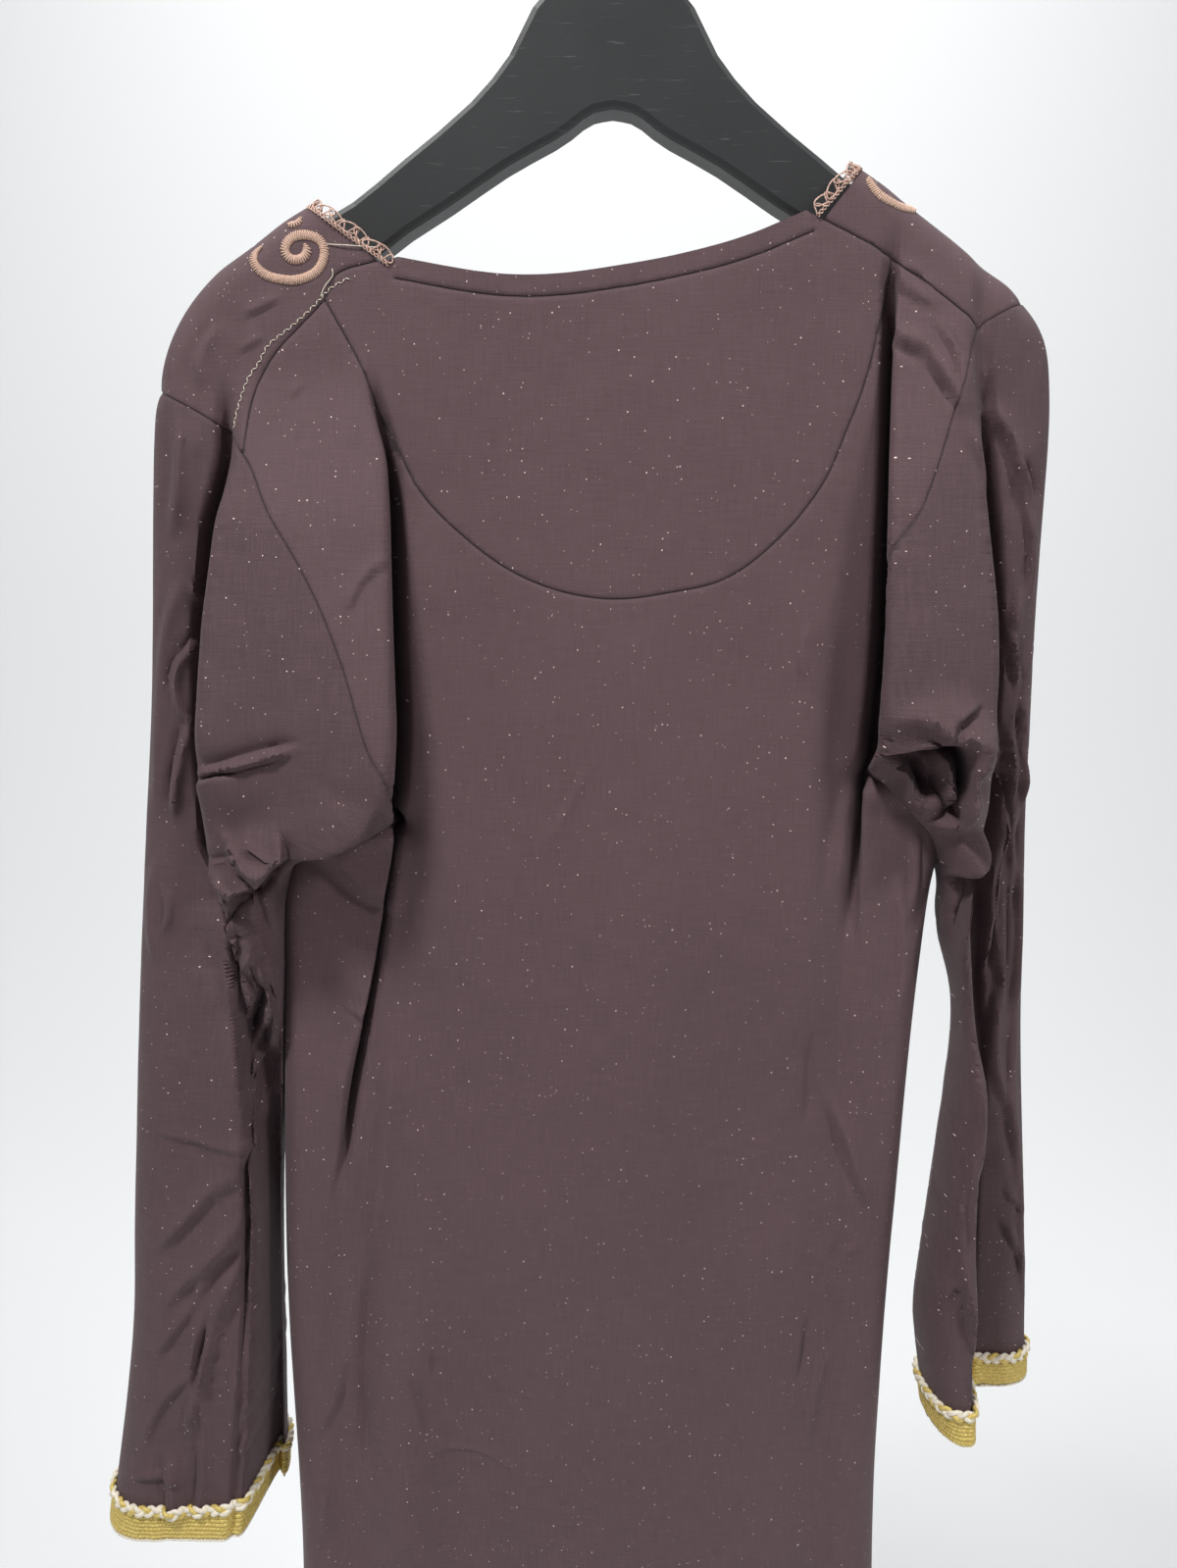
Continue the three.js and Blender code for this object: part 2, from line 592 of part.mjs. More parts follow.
function offsetPath(path, by) {
  // the path moved `by` to its left, along its own direction, its corners mitred
  const normals = path.slice(1).map((q, i) => {
    const l = Math.hypot(q.x - path[i].x, q.z - path[i].z)
    return { x: -(q.z - path[i].z) / l, z: (q.x - path[i].x) / l }
  })
  return path.map((p, i) => {
    const m = normals[Math.max(0, i - 1)]
    const n = normals[Math.min(normals.length - 1, i)]
    const k = by / Math.max(0.5, 1 + m.x * n.x + m.z * n.z)
    return { x: p.x + (m.x + n.x) * k, z: p.z + (m.z + n.z) * k }
  })
}

// ------------------------------------------------------------------ body
const tops = {
  back: [
    ...even([...paths.ridgeLeft].reverse(), 5),
    along([ridgeLeft[0], neckBack[0]], 0.3),
    ...even(smoothPath(neckBack, 24), 8),
    along([neckBack[neckBack.length - 1], ridgeRight[0]], 0.7),
    ridgeRight[0],
    ...even(paths.ridgeRight, 5).slice(1),
  ],
  front: [
    ...even([...paths.ridgeLeft].reverse(), 5),
    ...dense(smoothPath(neckFront, 48), 12, 0.035).slice(1),
    ...even(paths.ridgeRight, 5).slice(1),
  ],
}
const body = new Sheet()
const bodyAt = {}
for (const face of ['back', 'front']) {
  const rows = bodyRows(tops[face], 10)
  bodyAt[face] = body.grid(rows.map((row) => row.map((p) => pointOf('body', face, p.x, p.z))), face === 'front')
}
const bodySolid = thicken(body, -CLOTH / 2, CLOTH / 2)

// seams of the back: the outlines of its pieces, a little beyond the cloth where no seam runs
const FAR = 400
const SIDE_CUT = 1.5 // depth of the side seams
const seamLeft = smoothPath(shoulderSeamLeft, 20)
const seamRight = smoothPath(shoulderSeamRight, 10)
function backOutline(grow) {
  return [
    { x: -FAR, z: seamLeft[20].z - 1 },
    ...offsetPath(seamLeft, -grow).reverse(),
    { x: neckBack[0].x - grow, z: neckBack[0].z + 30 },
    { x: neckBack[6].x + grow, z: neckBack[6].z + 30 },
    ...offsetPath(seamRight, grow),
    { x: FAR, z: seamRight[10].z - 1 },
    { x: FAR, z: HEM_Z - 50 },
    { x: -FAR, z: HEM_Z - 50 },
  ]
}
const yokePath = smoothPath(yokeSeam, 48)
function yokeOutline(grow) {
  return [
    ...offsetPath(yokePath, -grow),
    { x: 128 + grow, z: -150 },
    { x: -134 - grow, z: -150 },
  ]
}
const neckPath = smoothPath(neckBack, 24)
function bandOutline(width) {
  return [...offsetPath(neckPath, -width), { x: 110, z: -150 }, { x: -120, z: -150 }]
}
// the back stops a little short of the left underarm, where four seams meet
const underarmNotch = prism([
  { x: -119, z: -479 },
  { x: -103, z: -479 },
  { x: -103, z: -458 },
  { x: -110, z: -458 },
], -9, FAR)
const backHalf = bodySolid.intersect(prism(backOutline(-GAP / 2), -200, SIDE_CUT - GAP / 2)).subtract(underarmNotch)
const frontSolid = bodySolid.subtract(prism(backOutline(GAP / 2), -200, SIDE_CUT + GAP / 2))
const yokeHalf = backHalf.intersect(prism(yokeOutline(-GAP / 2), -200, 0))
const backSolid = backHalf.subtract(prism(yokeOutline(GAP / 2), -200, 0))
const bandSolid = yokeHalf.intersect(prism(bandOutline(NECK_BAND - GAP / 2), -200, 0))
const yokeSolid = yokeHalf.subtract(prism(bandOutline(NECK_BAND + GAP / 2), -200, 0))

// ------------------------------------------------------------------ sleeves and their braid
const sleeves = {
  left: { armhole: armLeft, inner: paths.innerLeft, outer: paths.outerLeft },
  right: { armhole: armRight, inner: paths.innerRight, outer: paths.outerRight },
}
const sleeveSolid = {}
const cuffSolid = {}
for (const side of ['left', 'right']) {
  const s = sleeves[side]
  const sheet = new Sheet()
  const rows = sleeveRows(side, s.armhole, s.inner, s.outer, 4, 6)
  for (const face of ['back', 'front']) {
    const turned = (face === 'front') === (side === 'left')
    sheet.grid(rows.map((row) => row.map((p) => pointOf(side, face, p.x, p.z))), turned)
  }
  sleeveSolid[side] = thicken(sheet, -CLOTH / 2, CLOTH / 2)
  const end = s.inner[s.inner.length - 1].z
  const band = new Sheet()
  const levels = [end + CUFF_BAND - 2, end + CUFF_BAND / 2, end + 0.5]
  const across = levels.map((z) => acrossSleeve(side, { x: xOn(s.outer, z), z }, { x: xOn(s.inner, z), z }))
  for (const face of ['back', 'front']) {
    const turned = (face === 'front') === (side === 'left')
    band.grid(across.map((row) => row.map((p) => pointOf(side, face, p.x, p.z))), turned)
  }
  cuffSolid[side] = thicken(band, CLOTH / 2 + HUG, CLOTH / 2 + HUG + CUFF_THICK)
}

function xOn(path, z) {
  let i = path.length - 2
  while (i > 0 && path[i].z < z) i -= 1
  return mix(path[i].x, path[i + 1].x, (z - path[i].z) / (path[i + 1].z - path[i].z))
}

// ------------------------------------------------------------------ chain lace round the front neckline
// the first row of the panel's own points, from the back neckline's end over the shoulder and round the front
function laceSolid() {
  const normals = body.normals()
  const lace = new Sheet()
  const laceNormals = []
  const put = (p, n) => {
    const k = lace.add(p)
    laceNormals[k] = n
    return k
  }
  const own = (index) => put(body.points[index], normals[index])
  const strip = (at, from, to, turned) => {
    for (let i = from; i < to; i += 1) {
      const quad = [at[0][i], at[1][i], at[1][i + 1], at[0][i + 1]].map(own)
      if (turned) quad.reverse()
      lace.face(quad[0], quad[1], quad[2])
      lace.face(quad[0], quad[2], quad[3])
    }
  }
  const [first, last] = [NECK_FROM, NECK_TO]
  const { back, front } = bodyAt
  strip(front, first, last, true)
  strip(back, first, 7, false)
  strip(back, 15, last, false)
  // over each ridge the lace follows the panel's own triangles
  const partWay = (from, to) => {
    const share = LACE_WIDTH / body.points[from].distanceTo(body.points[to])
    const normal = normals[from].clone().lerp(normals[to], share).normalize()
    return put(body.points[from].clone().lerp(body.points[to], share), normal)
  }
  const left = own(back[0][first])
  const leftRidge = partWay(back[0][first], back[0][first - 1])
  const leftFront = partWay(front[0][first], front[1][first - 1])
  lace.face(leftRidge, own(back[1][first]), left)
  lace.face(left, leftFront, leftRidge)
  lace.face(left, own(front[1][first]), leftFront)
  const right = own(back[0][last])
  const rightRidge = partWay(back[0][last], back[0][last + 1])
  const rightBack = partWay(back[0][last], back[1][last + 1])
  lace.face(rightRidge, own(front[1][last]), right)
  lace.face(right, rightBack, rightRidge)
  lace.face(right, own(back[1][last]), rightBack)
  return thicken(lace, CLOTH / 2 + HUG, CLOTH / 2 + HUG + LACE_THICK, laceNormals)
}

// ------------------------------------------------------------------ hanger
const hangerTop = [
  { x: 12, z: -48 },
  { x: 14, z: -56 },
  { x: 24, z: -70 },
  { x: 37, z: -84 },
  { x: 48, z: -104 },
  { x: 66, z: -124 },
  { x: 98, z: -149 },
  { x: 122, z: -167.2 },
  { x: 142, z: -178.2 },
  { x: 164, z: -193.2 },
  { x: 183, z: -207.2 },
  { x: 193, z: -218.2 },
]
const hangerEnd = [
  { x: 198, z: -231 },
  { x: 196, z: -240 },
  { x: 188, z: -245 },
]
const hangerUnder = [
  { x: 174, z: -238 },
  { x: 150, z: -222 },
  { x: 101, z: -184 },
  { x: 78, z: -170 },
  { x: 48, z: -151 },
  { x: 23, z: -138 },
  { x: 10, z: -129 },
  { x: 0, z: -127 },
]
function hangerPart() {
  const half = [
    ...smoothPath(hangerTop, 22),
    ...hangerEnd,
    ...smoothPath(hangerUnder, 16),
  ]
  const other = [...half].slice(0, -1).reverse().map((p) => ({ x: -p.x, z: p.z }))
  const outline = [...half, ...other].map((p) => new THREE.Vector2(p.x, p.z))
  const bevel = 3
  const geometry = new THREE.ExtrudeGeometry(new THREE.Shape(outline), {
    depth: HANGER_THICK - 2 * bevel, bevelThickness: bevel, bevelSize: bevel, bevelOffset: -bevel, bevelSegments: 2,
  })
  geometry.rotateX(Math.PI / 2)
  geometry.translate(0, HANGER_THICK / 2 - bevel, 0)
  const arm = fromGeometry(geometry)
  const top = HOOK_ROD
  const hook = [[0, -70], [0, -56], [4, -49], [18, -40], [24, -22], [17, -3], [0, top], [-17, -3], [-24, -20], [-23, -30]]
  const line = new THREE.CatmullRomCurve3(hook.map(([x, z]) => new THREE.Vector3(x, 0, z)))
  const ring = new THREE.Shape()
  ring.absarc(0, 0, HOOK_ROD, 0, 2 * Math.PI, false)
  const rod = new THREE.ExtrudeGeometry(ring, { steps: 36, curveSegments: 12, extrudePath: line })
  return arm.add(fromGeometry(rod))
}

// ------------------------------------------------------------------ the object
const kaftan = new THREE.Group()
kaftan.name = 'kaftan_on_hanger'

function node(name, solid, look) {
  const made = solid.getMesh()
  const geometry = new THREE.BufferGeometry()
  const n = made.numProp
  const positions = new Float32Array(made.numVert * 3)
  for (let i = 0; i < made.numVert; i += 1) {
    positions.set(made.vertProperties.subarray(i * n, i * n + 3), i * 3)
  }
  geometry.setAttribute('position', new THREE.BufferAttribute(positions, 3))
  geometry.setIndex(new THREE.BufferAttribute(new Uint32Array(made.triVerts), 1))
  geometry.computeVertexNormals()
  const mesh = new THREE.Mesh(geometry, new THREE.MeshStandardMaterial(look))
  mesh.name = name
  kaftan.add(mesh)
}

node('back', backSolid, cloth)
node('back_yoke', yokeSolid, cloth)
node('neck_binding', bandSolid, cloth)
node('front', frontSolid, cloth)
node('sleeve_left', sleeveSolid.left, cloth)
node('sleeve_right', sleeveSolid.right, cloth)
node('neck_lace', laceSolid(), rose)
node('cuff_braid_left', cuffSolid.left, gold)
node('cuff_braid_right', cuffSolid.right, gold)
node('hanger', hangerPart(), black)

export default kaftan
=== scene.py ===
# %% [markdown]
# # A kaftan on its hanger
# This notebook dresses the plain solids of the kaftan in fine cloth, seams, embroidery, lace and braid.
# Everything is drawn the way a pattern cutter works: a flat drawing of the garment, seen from its back, in
# millimetres. `x` runs to the right, `z` up, and a table says how deep the cloth lies at each height. The
# origin is where the hook of the hanger sits on its rail, as in the solids.

# %% Tools and the fixed frame
import math

import bpy
import numpy as np
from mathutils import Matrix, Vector, noise
from mathutils.geometry import delaunay_2d_cdt
from mathutils.kdtree import KDTree


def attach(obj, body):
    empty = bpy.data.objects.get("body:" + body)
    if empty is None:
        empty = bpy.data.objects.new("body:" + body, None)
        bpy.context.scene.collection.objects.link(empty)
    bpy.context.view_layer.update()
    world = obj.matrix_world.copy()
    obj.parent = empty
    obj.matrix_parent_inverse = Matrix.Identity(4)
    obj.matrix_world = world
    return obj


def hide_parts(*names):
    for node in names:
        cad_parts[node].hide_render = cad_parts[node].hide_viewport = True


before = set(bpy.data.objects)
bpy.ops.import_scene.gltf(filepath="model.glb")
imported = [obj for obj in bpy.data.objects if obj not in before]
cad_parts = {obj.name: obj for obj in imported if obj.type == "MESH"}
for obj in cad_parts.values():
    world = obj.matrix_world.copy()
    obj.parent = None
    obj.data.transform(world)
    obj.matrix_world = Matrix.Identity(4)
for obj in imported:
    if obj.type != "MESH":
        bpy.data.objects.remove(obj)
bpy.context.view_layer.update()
MM = 0.001
print("solids:", ", ".join(sorted(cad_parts)))

# %% [markdown]
# ## The camera
# A garment on a rail is looked at from arm's length, a little above its middle and slightly downwards. A
# long lens from far away would flatten it. A short lens from close by is used instead, because it gives
# the sleeves that seem to widen downwards, and a hem that runs out of view.

# %% Camera
CAMERA_AT = (-0.0115, -0.600, -0.340)  # metres
CAMERA_PITCH = 80  # degrees from looking straight down
FOCAL_PIXELS, FRAME_HEIGHT = 1203, 1599
SENSOR = 36  # mm

lens = bpy.data.cameras.new("camera")
lens.sensor_width = SENSOR
lens.lens = SENSOR * FOCAL_PIXELS / FRAME_HEIGHT
camera = bpy.data.objects.new("camera", lens)
camera.location = CAMERA_AT
camera.rotation_euler = (math.radians(CAMERA_PITCH), 0, 0)
bpy.context.scene.collection.objects.link(camera)
bpy.context.scene.camera = camera
print(f"lens {lens.lens:.1f} mm")

# %% [markdown]
# ## The drawing
# A tube of cloth that hangs flat is two sheets, back and front, joined along folded edges. It could be
# sculpted, or dropped on the hanger by a cloth simulation, but neither lets a maker say where a fold runs.
# So it is drawn: each folded edge is a line with the depth `y` of the fold and the reach `r` over which the
# cloth turns. The tables are short on purpose: a row for each place where the outline changes.


# %% A table typed as rows
def columns(names, rows):
    """A table typed as rows of numbers, as a dict of columns."""
    names = names.split()
    values = np.array(rows.split(), float).reshape(-1, len(names))
    return dict(zip(names, values.T))


# %% The folded edges
EDGE = "x z y r"
RIDGE_LEFT = columns(EDGE, """
    -139.5 -167 0 15   -155 -176 0 15   -170.5 -187 0 15   -186 -197 0 15
    -200.5 -211.5 0 15   -211.5 -229 0 15   -219.6 -252 0 15""")
RIDGE_RIGHT = columns(EDGE, """
    111.5 -150 0 15   127 -160 0 15   142.5 -171 0 15   160 -183.5 0 15
    176.5 -196 0 15   188 -203.5 0 15   197 -211 0 15""")
OUTER_LEFT = columns(EDGE, """
    -219.6 -252 0 15   -222 -268 0 18   -231.5 -395 -2 26   -242.5 -514 -6 28
    -253.5 -665 -12 28   -258.5 -742 -16 26   -273 -835 -18 22   -276 -853 -18 22""")
OUTER_RIGHT = columns(EDGE, """
    197 -211 0 15   207.5 -229 0 15   212.5 -255 2 18   213.5 -346 4 20   217 -460 8 20
    223.5 -580 12 20   231 -665 14 20   238 -740 18 18   242 -797 20 18""")
INNER_LEFT = columns(EDGE, """
    -107 -463 0 18   -120 -468 -24 16   -137 -474 -38 14   -157 -480 -36 14   -165 -497 -28 12
    -169 -545 -22 10   -174 -607 -12 8   -180 -655 0 8   -184 -724 4 8   -187 -835 4 8
    -188 -853 4 8""")
INNER_RIGHT = columns(EDGE, """
    129 -439 0 18   138 -444 -24 16   148 -455 -38 14   160 -468 -30 14   168 -490 -18 12
    171 -520 -8 12   181 -563 -6 12   177 -640 -6 12   171 -705 -8 12   169 -740 -8 12
    177 -797 -8 12""")
SIDE_LEFT = columns(EDGE, """
    -107 -463 0 18   -122 -463 0 16   -142 -464 0 14   -160 -472 0 12   -169 -492 0 12
    -171 -540 0 12   -173.5 -603 0 12   -177 -717 0 12   -176 -902 0 14   -190 -1200 0 18
    -215 -1500 0 20""")
SIDE_RIGHT = columns(EDGE, """
    129 -439 0 18   145 -437 0 16   160 -443 0 14   168.5 -458 0 12   168.5 -476 0 12
    165 -497 0 12   162.5 -522 0 12   159 -570 0 12   155.5 -646 0 12   151 -780 0 12
    152 -902 0 14   170 -1200 0 18
    195 -1500 0 20""")
HEM_Z = -1500
UNDERARM = {"left": INNER_LEFT["z"][0], "right": INNER_RIGHT["z"][0]}
print("length from shoulder to hem:", round(RIDGE_RIGHT["z"][0] - HEM_Z), "mm")

# %% Openings and seams
LINE = "x z"
ARMHOLE_LEFT = columns(LINE, """
    -219.6 -252   -205 -259   -185 -271   -172 -284   -160 -311   -147 -333   -135 -357
    -125 -384   -117 -413   -110 -440   -107 -463""")
ARMHOLE_RIGHT = columns(LINE, """
    197 -211   183 -218   171 -226   166 -238   159 -261   151 -287   142 -314   135 -340
    131.5 -374   130 -408   129 -439""")
NECK_BACK = columns(LINE, """
    -99.5 -195   -56.5 -202   -29.5 -202.5   -2.5 -199.5   33.5 -193   60.5 -186   88.5 -175""")
NECK_FRONT = columns(LINE, """
    -139.5 -167   -118 -214   -86 -258   -44 -285   -8 -291   32 -280   68 -248   95 -202
    111.5 -150""")
SHOULDER_SEAM_LEFT = columns(LINE, """
    -99.5 -195   -128.5 -203   -134 -213.5   -159 -239   -168 -256   -172 -284""")
SHOULDER_SEAM_RIGHT = columns(LINE, "88.5 -175   128 -195   171 -226")
YOKE_SEAM = columns(LINE, """
    -134 -213.5   -118 -243   -107 -268   -92 -300   -73 -320   -50 -337   -26 -347   0 -351
    27 -348   55 -341   82 -320   101 -295   110 -273   118 -251   124 -224   128 -195""")

NECK_BAND = 9.5  # width of the bound back neckline, in mm
print("width of the yoke:", round(np.ptp(YOKE_SEAM["x"])), "mm")

# %% [markdown]
# ## The big folds down each side
# Here the cloth is folded like an accordion: an outer strip, a dark gap, a bag of cloth, a deep tuck, and
# then the flat centre. Such folds could be pulled out of a flat mesh with Blender's sculpt tools. A depth
# for each height is used instead, because it can be read and changed one number at a time. `gap` and `tuck`
# are where those folds run, `gapIn` and `tuckIn` how deep they go, and the other columns how far each part
# stands towards the viewer (negative) or away.

# %% Depth tables
FOLDS = "z gap gapIn outer bag tuck tuckIn strip frontOuter frontBag"
FOLDS_LEFT = columns(FOLDS, """
    -250 -182  0 -20 -22 -114  0 -22 20 24
    -285 -183  8 -22 -32 -105  8 -22 20 30
    -315 -192 14 -22 -42 -104 12 -22 20 34
    -365 -199 18 -22 -50 -104 16 -22 20 36
    -413 -202 20 -22 -56 -103 17 -22 18 34
    -440 -202 20 -22 -56 -105 16 -20 18 30
    -480 -201 20 -24 -46 -111 14 -19 16 22
    -544 -196 18 -30 -32 -122 10 -22 10 18
    -600 -191 14 -34  -4 -134  5 -24  4 20
    -660 -190 10 -38   8 -144  0 -24  0 24
    -755 -194  4 -40  12 -150  0 -25 -4 27
    -853 -204  2 -42  12 -150  0 -25 -4 27""")
FOLDS_RIGHT = columns(FOLDS, """
    -190 178 0 -14 -20 129  0 -22 20 24
    -231 174 0 -17 -26 131 10 -22 22 28
    -291 180 7 -16 -38 132 16 -22 24 34
    -365 189 9 -13 -48 132 17 -22 26 34
    -393 190 9 -11 -50 131 17 -22 27 32
    -432 189 9  -9 -46 128 14 -21 27 26
    -467 188 8  -7 -42 124  6 -23 27 18
    -523 189 6  -5 -38 121  0 -25 27 10
    -598 199 4   0 -38 120  0 -26 28  8
    -690 200 3   4 -40 120  0 -26 30  8
    -797 204 3   8 -42 120  0 -26 32  8""")
CENTRE_BACK, CENTRE_FRONT = -22, 22  # depth of the flat middle, in mm
FALLS = columns("x0 z0 x1 z1 width out", """
    -92 -300 -86 -560 16 4
    92 -320 100 -640 15 5
    14 -420 6 -1100 34 4
    82 -640 96 -1250 20 6
    -112 -660 -126 -1250 18 7
    -70 -700 -84 -1250 22 -6""")
print(len(FOLDS_LEFT["z"]), "heights on the left,", len(FOLDS_RIGHT["z"]), "on the right")

# %% [markdown]
# ## Creases
# Cloth that has been worn and packed keeps small sharp creases, most of them in the sleeves. A noise
# texture would scatter them anywhere, so each has a row of its own. The ends were read by eye from the real
# garment, and a scratch program turned the readings into millimetres, so these rows are its output and not
# sizes typed by hand. A row is one crease: where it starts and ends, how far it bows to the left of that
# line, its half width, how far it rises, and how far its crest leans over. A negative rise is a trough.

# %% Creases of the back
CREASE = "x0 z0 x1 z1 bow half rise over"
BACK_CREASES = columns(CREASE, """
    -171 -220 -156 -213 0 4 1.2 0    -184 -226 -194 -251 -3 6 1.8 0    -175 -236 -164 -230 0 4 1 0
    -151 -257 -146 -251 0 4 0.8 0    -123 -356 -109 -332 2 4 1.6 0     -123 -501 -111 -508 0 4 1.5 0
    -134 -559 -134 -586 8 5 2 0      -151 -465 -111 -503 -2 14 5 0
    131 -198 148 -216 -2 5 1.8 0     137 -228 163 -264 1 6 3.2 1       127 -211 141 -236 -1 5 1.6 0
    150 -224 162 -256 3 4 2 0        154 -223 163 -237 0 3 1.2 0       143 -234 157 -260 -1 4 -2 0
    138 -198 147 -208 0 3 1 0
    -10 -427 -30 -468 1 5 0.9 0      94 -365 93 -389 -2 4 1.2 0        118 -444 113 -495 -1 8 2.4 0
    102 -575 102 -619 0 5 -1.6 0     112 -604 137 -668 0 6 2.4 1       131 -687 118 -722 -5 6 1.4 0
    105 -733 102 -766 0 3 -1.8 0     121 -743 108 -809 -3 5 1.8 1      -97 -754 -95 -767 0 3 -1.4 0
    -107 -770 -99 -803 1 4 -1.8 0    -95 -814 -52 -825 3 4 0.8 0       -157 -835 -159 -865 0 4 1.6 0
    -162 -803 -144 -749 -4 7 1.8 0   -127 -702 -132 -827 -3 9 -3.5 0   -142 -708 -150 -797 1 9 2 0
    -123 -562 -138 -637 -4 7 -3.5 0  -111 -575 -126 -702 0 12 3 0      151 -472 150 -508 2 4 1.8 0
    156 -467 156 -495 0 3 -1.6 0     144 -492 146 -565 3 7 1.8 0""")

# %% Creases of the left sleeve
LEFT_CREASES = columns(CREASE, """
    -204 -262 -210 -318 2 8 3 0      -200 -264 -198 -283 0 4 1.5 0     -202 -346 -209 -380 6 5 3 1
    -209 -378 -207 -413 -6 5 3 1     -207 -411 -218 -456 -2 5 3 1      -210 -346 -225 -403 -2 7 2.5 0
    -225 -401 -229 -453 0 7 2.5 0    -216 -432 -219 -457 0 3 1.5 0     -225 -494 -227 -517 4 4 2 0
    -229 -482 -232 -530 -4 7 3 0     -205 -506 -194 -573 1 8 4 2
    -193 -428 -149 -416 0 5 -2.6 0   -193 -432 -153 -421 1 5 2.2 0     -192 -435 -181 -430 0 3 -1.2 0
    -184 -464 -158 -466 -14 6 5 3    -195 -479 -164 -476 -12 6 4.5 3   -194 -499 -175 -487 -2 5 4 3
    -194 -475 -184 -472 0 3 -1.5 0
    -194 -516 -179 -513 4 4 3.5 3    -179 -513 -190 -537 3 5 4 3       -190 -538 -194 -517 -1 4 -3 0
    -177 -530 -184 -571 5 5 4.5 3    -184 -538 -187 -570 3 4 -4 0      -170 -531 -190 -594 8 6 5 3
    -177 -544 -190 -580 0 3 -4 0     -167 -504 -169 -597 4 6 4 2       -174 -491 -170 -532 0 4 -3 0
    -179 -602 -190 -643 1 5 4 0
    -236 -684 -196 -640 0 9 2.2 0    -233 -715 -195 -677 2 8 2.2 0     -216 -710 -193 -665 2 8 2.6 0
    -218 -778 -195 -692 4 7 3.2 1    -223 -796 -214 -723 2 5 2.6 1     -225 -778 -210 -726 0 5 -2.6 0
    -192 -632 -199 -778 4 8 3 0      -193 -590 -190 -665 2 7 3 0       -239 -743 -219 -715 0 6 1.6 0
    -249 -796 -223 -755 4 6 1.8 0    -254 -816 -230 -817 3 6 2 0       -236 -802 -237 -840 2 6 2.4 0
    -218 -793 -222 -837 2 5 2.2 0    -232 -621 -193 -629 0 5 1 0       -200 -794 -182 -764 4 6 2 0
    -201 -807 -182 -789 3 6 2 0""")

# %% Creases of the right sleeve
RIGHT_CREASES = columns(CREASE, """
    167 -231 177 -248 0 4 2 0        169 -240 176 -254 0 3 1.6 0       167 -260 181 -275 5 4 2 0
    164 -271 177 -303 0 5 1.8 0
    180 -261 199 -308 4 6 3 1        196 -285 206 -305 1 4 -3 0        201 -308 206 -351 2 5 3 0
    201 -346 205 -394 -4 5 2.6 1     198 -365 204 -419 4 4 -2.6 0      208 -390 212 -375 0 4 2 0
    205 -394 208 -460 3 5 3 1        199 -414 201 -480 4 5 3 1         206 -444 212 -511 2 4 -2.6 0
    202 -475 207 -549 -4 5 3.2 1     211 -486 216 -571 4 5 3 1         207 -496 211 -565 0 4 -2.6 0
    207 -549 214 -621 -5 5 3 1       218 -572 225 -651 -3 5 2.6 0
    154 -406 170 -399 0 4 2 0        156 -410 168 -405 0 3 -1.5 0      129 -422 155 -408 10 9 7 0
    155 -408 172 -438 12 8 7 0       172 -436 156 -460 7 7 6 2         134 -438 150 -450 -2 5 4 0
    155 -422 164 -449 -1 4 5 2       142 -424 153 -445 1 9 -14 0       152 -466 160 -513 0 6 3.5 2
    173 -473 166 -506 0 5 4 2
    180 -478 175 -533 -4 6 3.5 0     182 -569 183 -659 5 8 3 0         181 -643 192 -726 -5 7 3 0
    192 -584 196 -659 -3 6 3.5 1     182 -651 186 -687 0 4 -2.4 0      186 -692 199 -758 -3 6 3 0
    163 -676 178 -660 3 5 1.6 0      163 -726 180 -704 0 5 1.8 0       214 -610 231 -680 1 6 2.4 0
    219 -693 236 -729 2 5 2.6 0      220 -675 235 -693 0 4 1.8 0       232 -669 239 -750 -3 5 2.6 0""")
CREASES = {"body": BACK_CREASES, "left": LEFT_CREASES, "right": RIGHT_CREASES}
print({name: len(rows["x0"]) for name, rows in CREASES.items()}, "creases")

# %% [markdown]
# ## Lips
# A bigger fold has one side that stands high and ends in a lip, which hangs over a hollow. A plain height
# above the sheet can't hang over, so each lip is a line that also pushes its cloth sideways. The cloth
# stands high on the left of the line's direction, by `rise`, and eases off over `wide`. Beyond the lip lies
# a hollow `dip` deep, and the lip leans out by `over`.

# %% Lips of the left sleeve
LIP = "x z rise wide dip over"
LEFT_LIPS = [columns(LIP, rows) for rows in (
    # the outer strip's edge, over the crumpled part
    """-186 -716 0 10 0 0    -187 -665 2 12 3 2   -190 -624 4 12 6 4   -192 -583 5 12 8 5
    -197 -537 5 12 8 5   -202 -511 4 10 6 3   -204 -500 0 10 0 0""",
    # the bag's lower corner
    """-198 -497 0 14 0 0   -190 -493 3 14 8 4   -171 -482 5 16 10 6   -161 -471 5 16 8 5
    -158 -458 0 16 0 0""",
    # the bag's lower edge, over the strip of the body
    """-164 -468 2 14 0 5   -155 -467 4 16 0 8   -140 -463 5 18 0 10   -124 -457 5 18 0 9
    -116 -448 2 16 0 4""",
    # crumples
    "-195 -517 0 5 0 0   -191 -504 3 6 5 3   -182 -495 0 6 0 0",
    "-193 -516 0 5 0 0   -190 -514 2.5 5 5 3   -186 -517 2 5 4 2   -186 -522 0 5 0 0",
    "-195 -540 0 6 0 0   -191 -532 3 7 4 3   -186 -525 0 6 0 0",
    "-188 -562 0 6 0 0   -184 -551 3.5 7 5 3   -179 -539 0 6 0 0",
    "-175 -588 0 6 0 0   -174.5 -565 3 7 4 3   -175 -553 3 7 4 3   -180 -537 0 6 0 0",
    "-193 -606 0 6 0 0   -187 -588 4 7 6 4   -181 -566 0 6 0 0",
    "-194 -640 0 6 0 0   -190 -628 3 6 4 3   -186 -616 0 6 0 0",
    "-175 -433 0 14 0 0   -186 -435 2.4 14 2 1.5   -199 -440 0 12 0 0")]

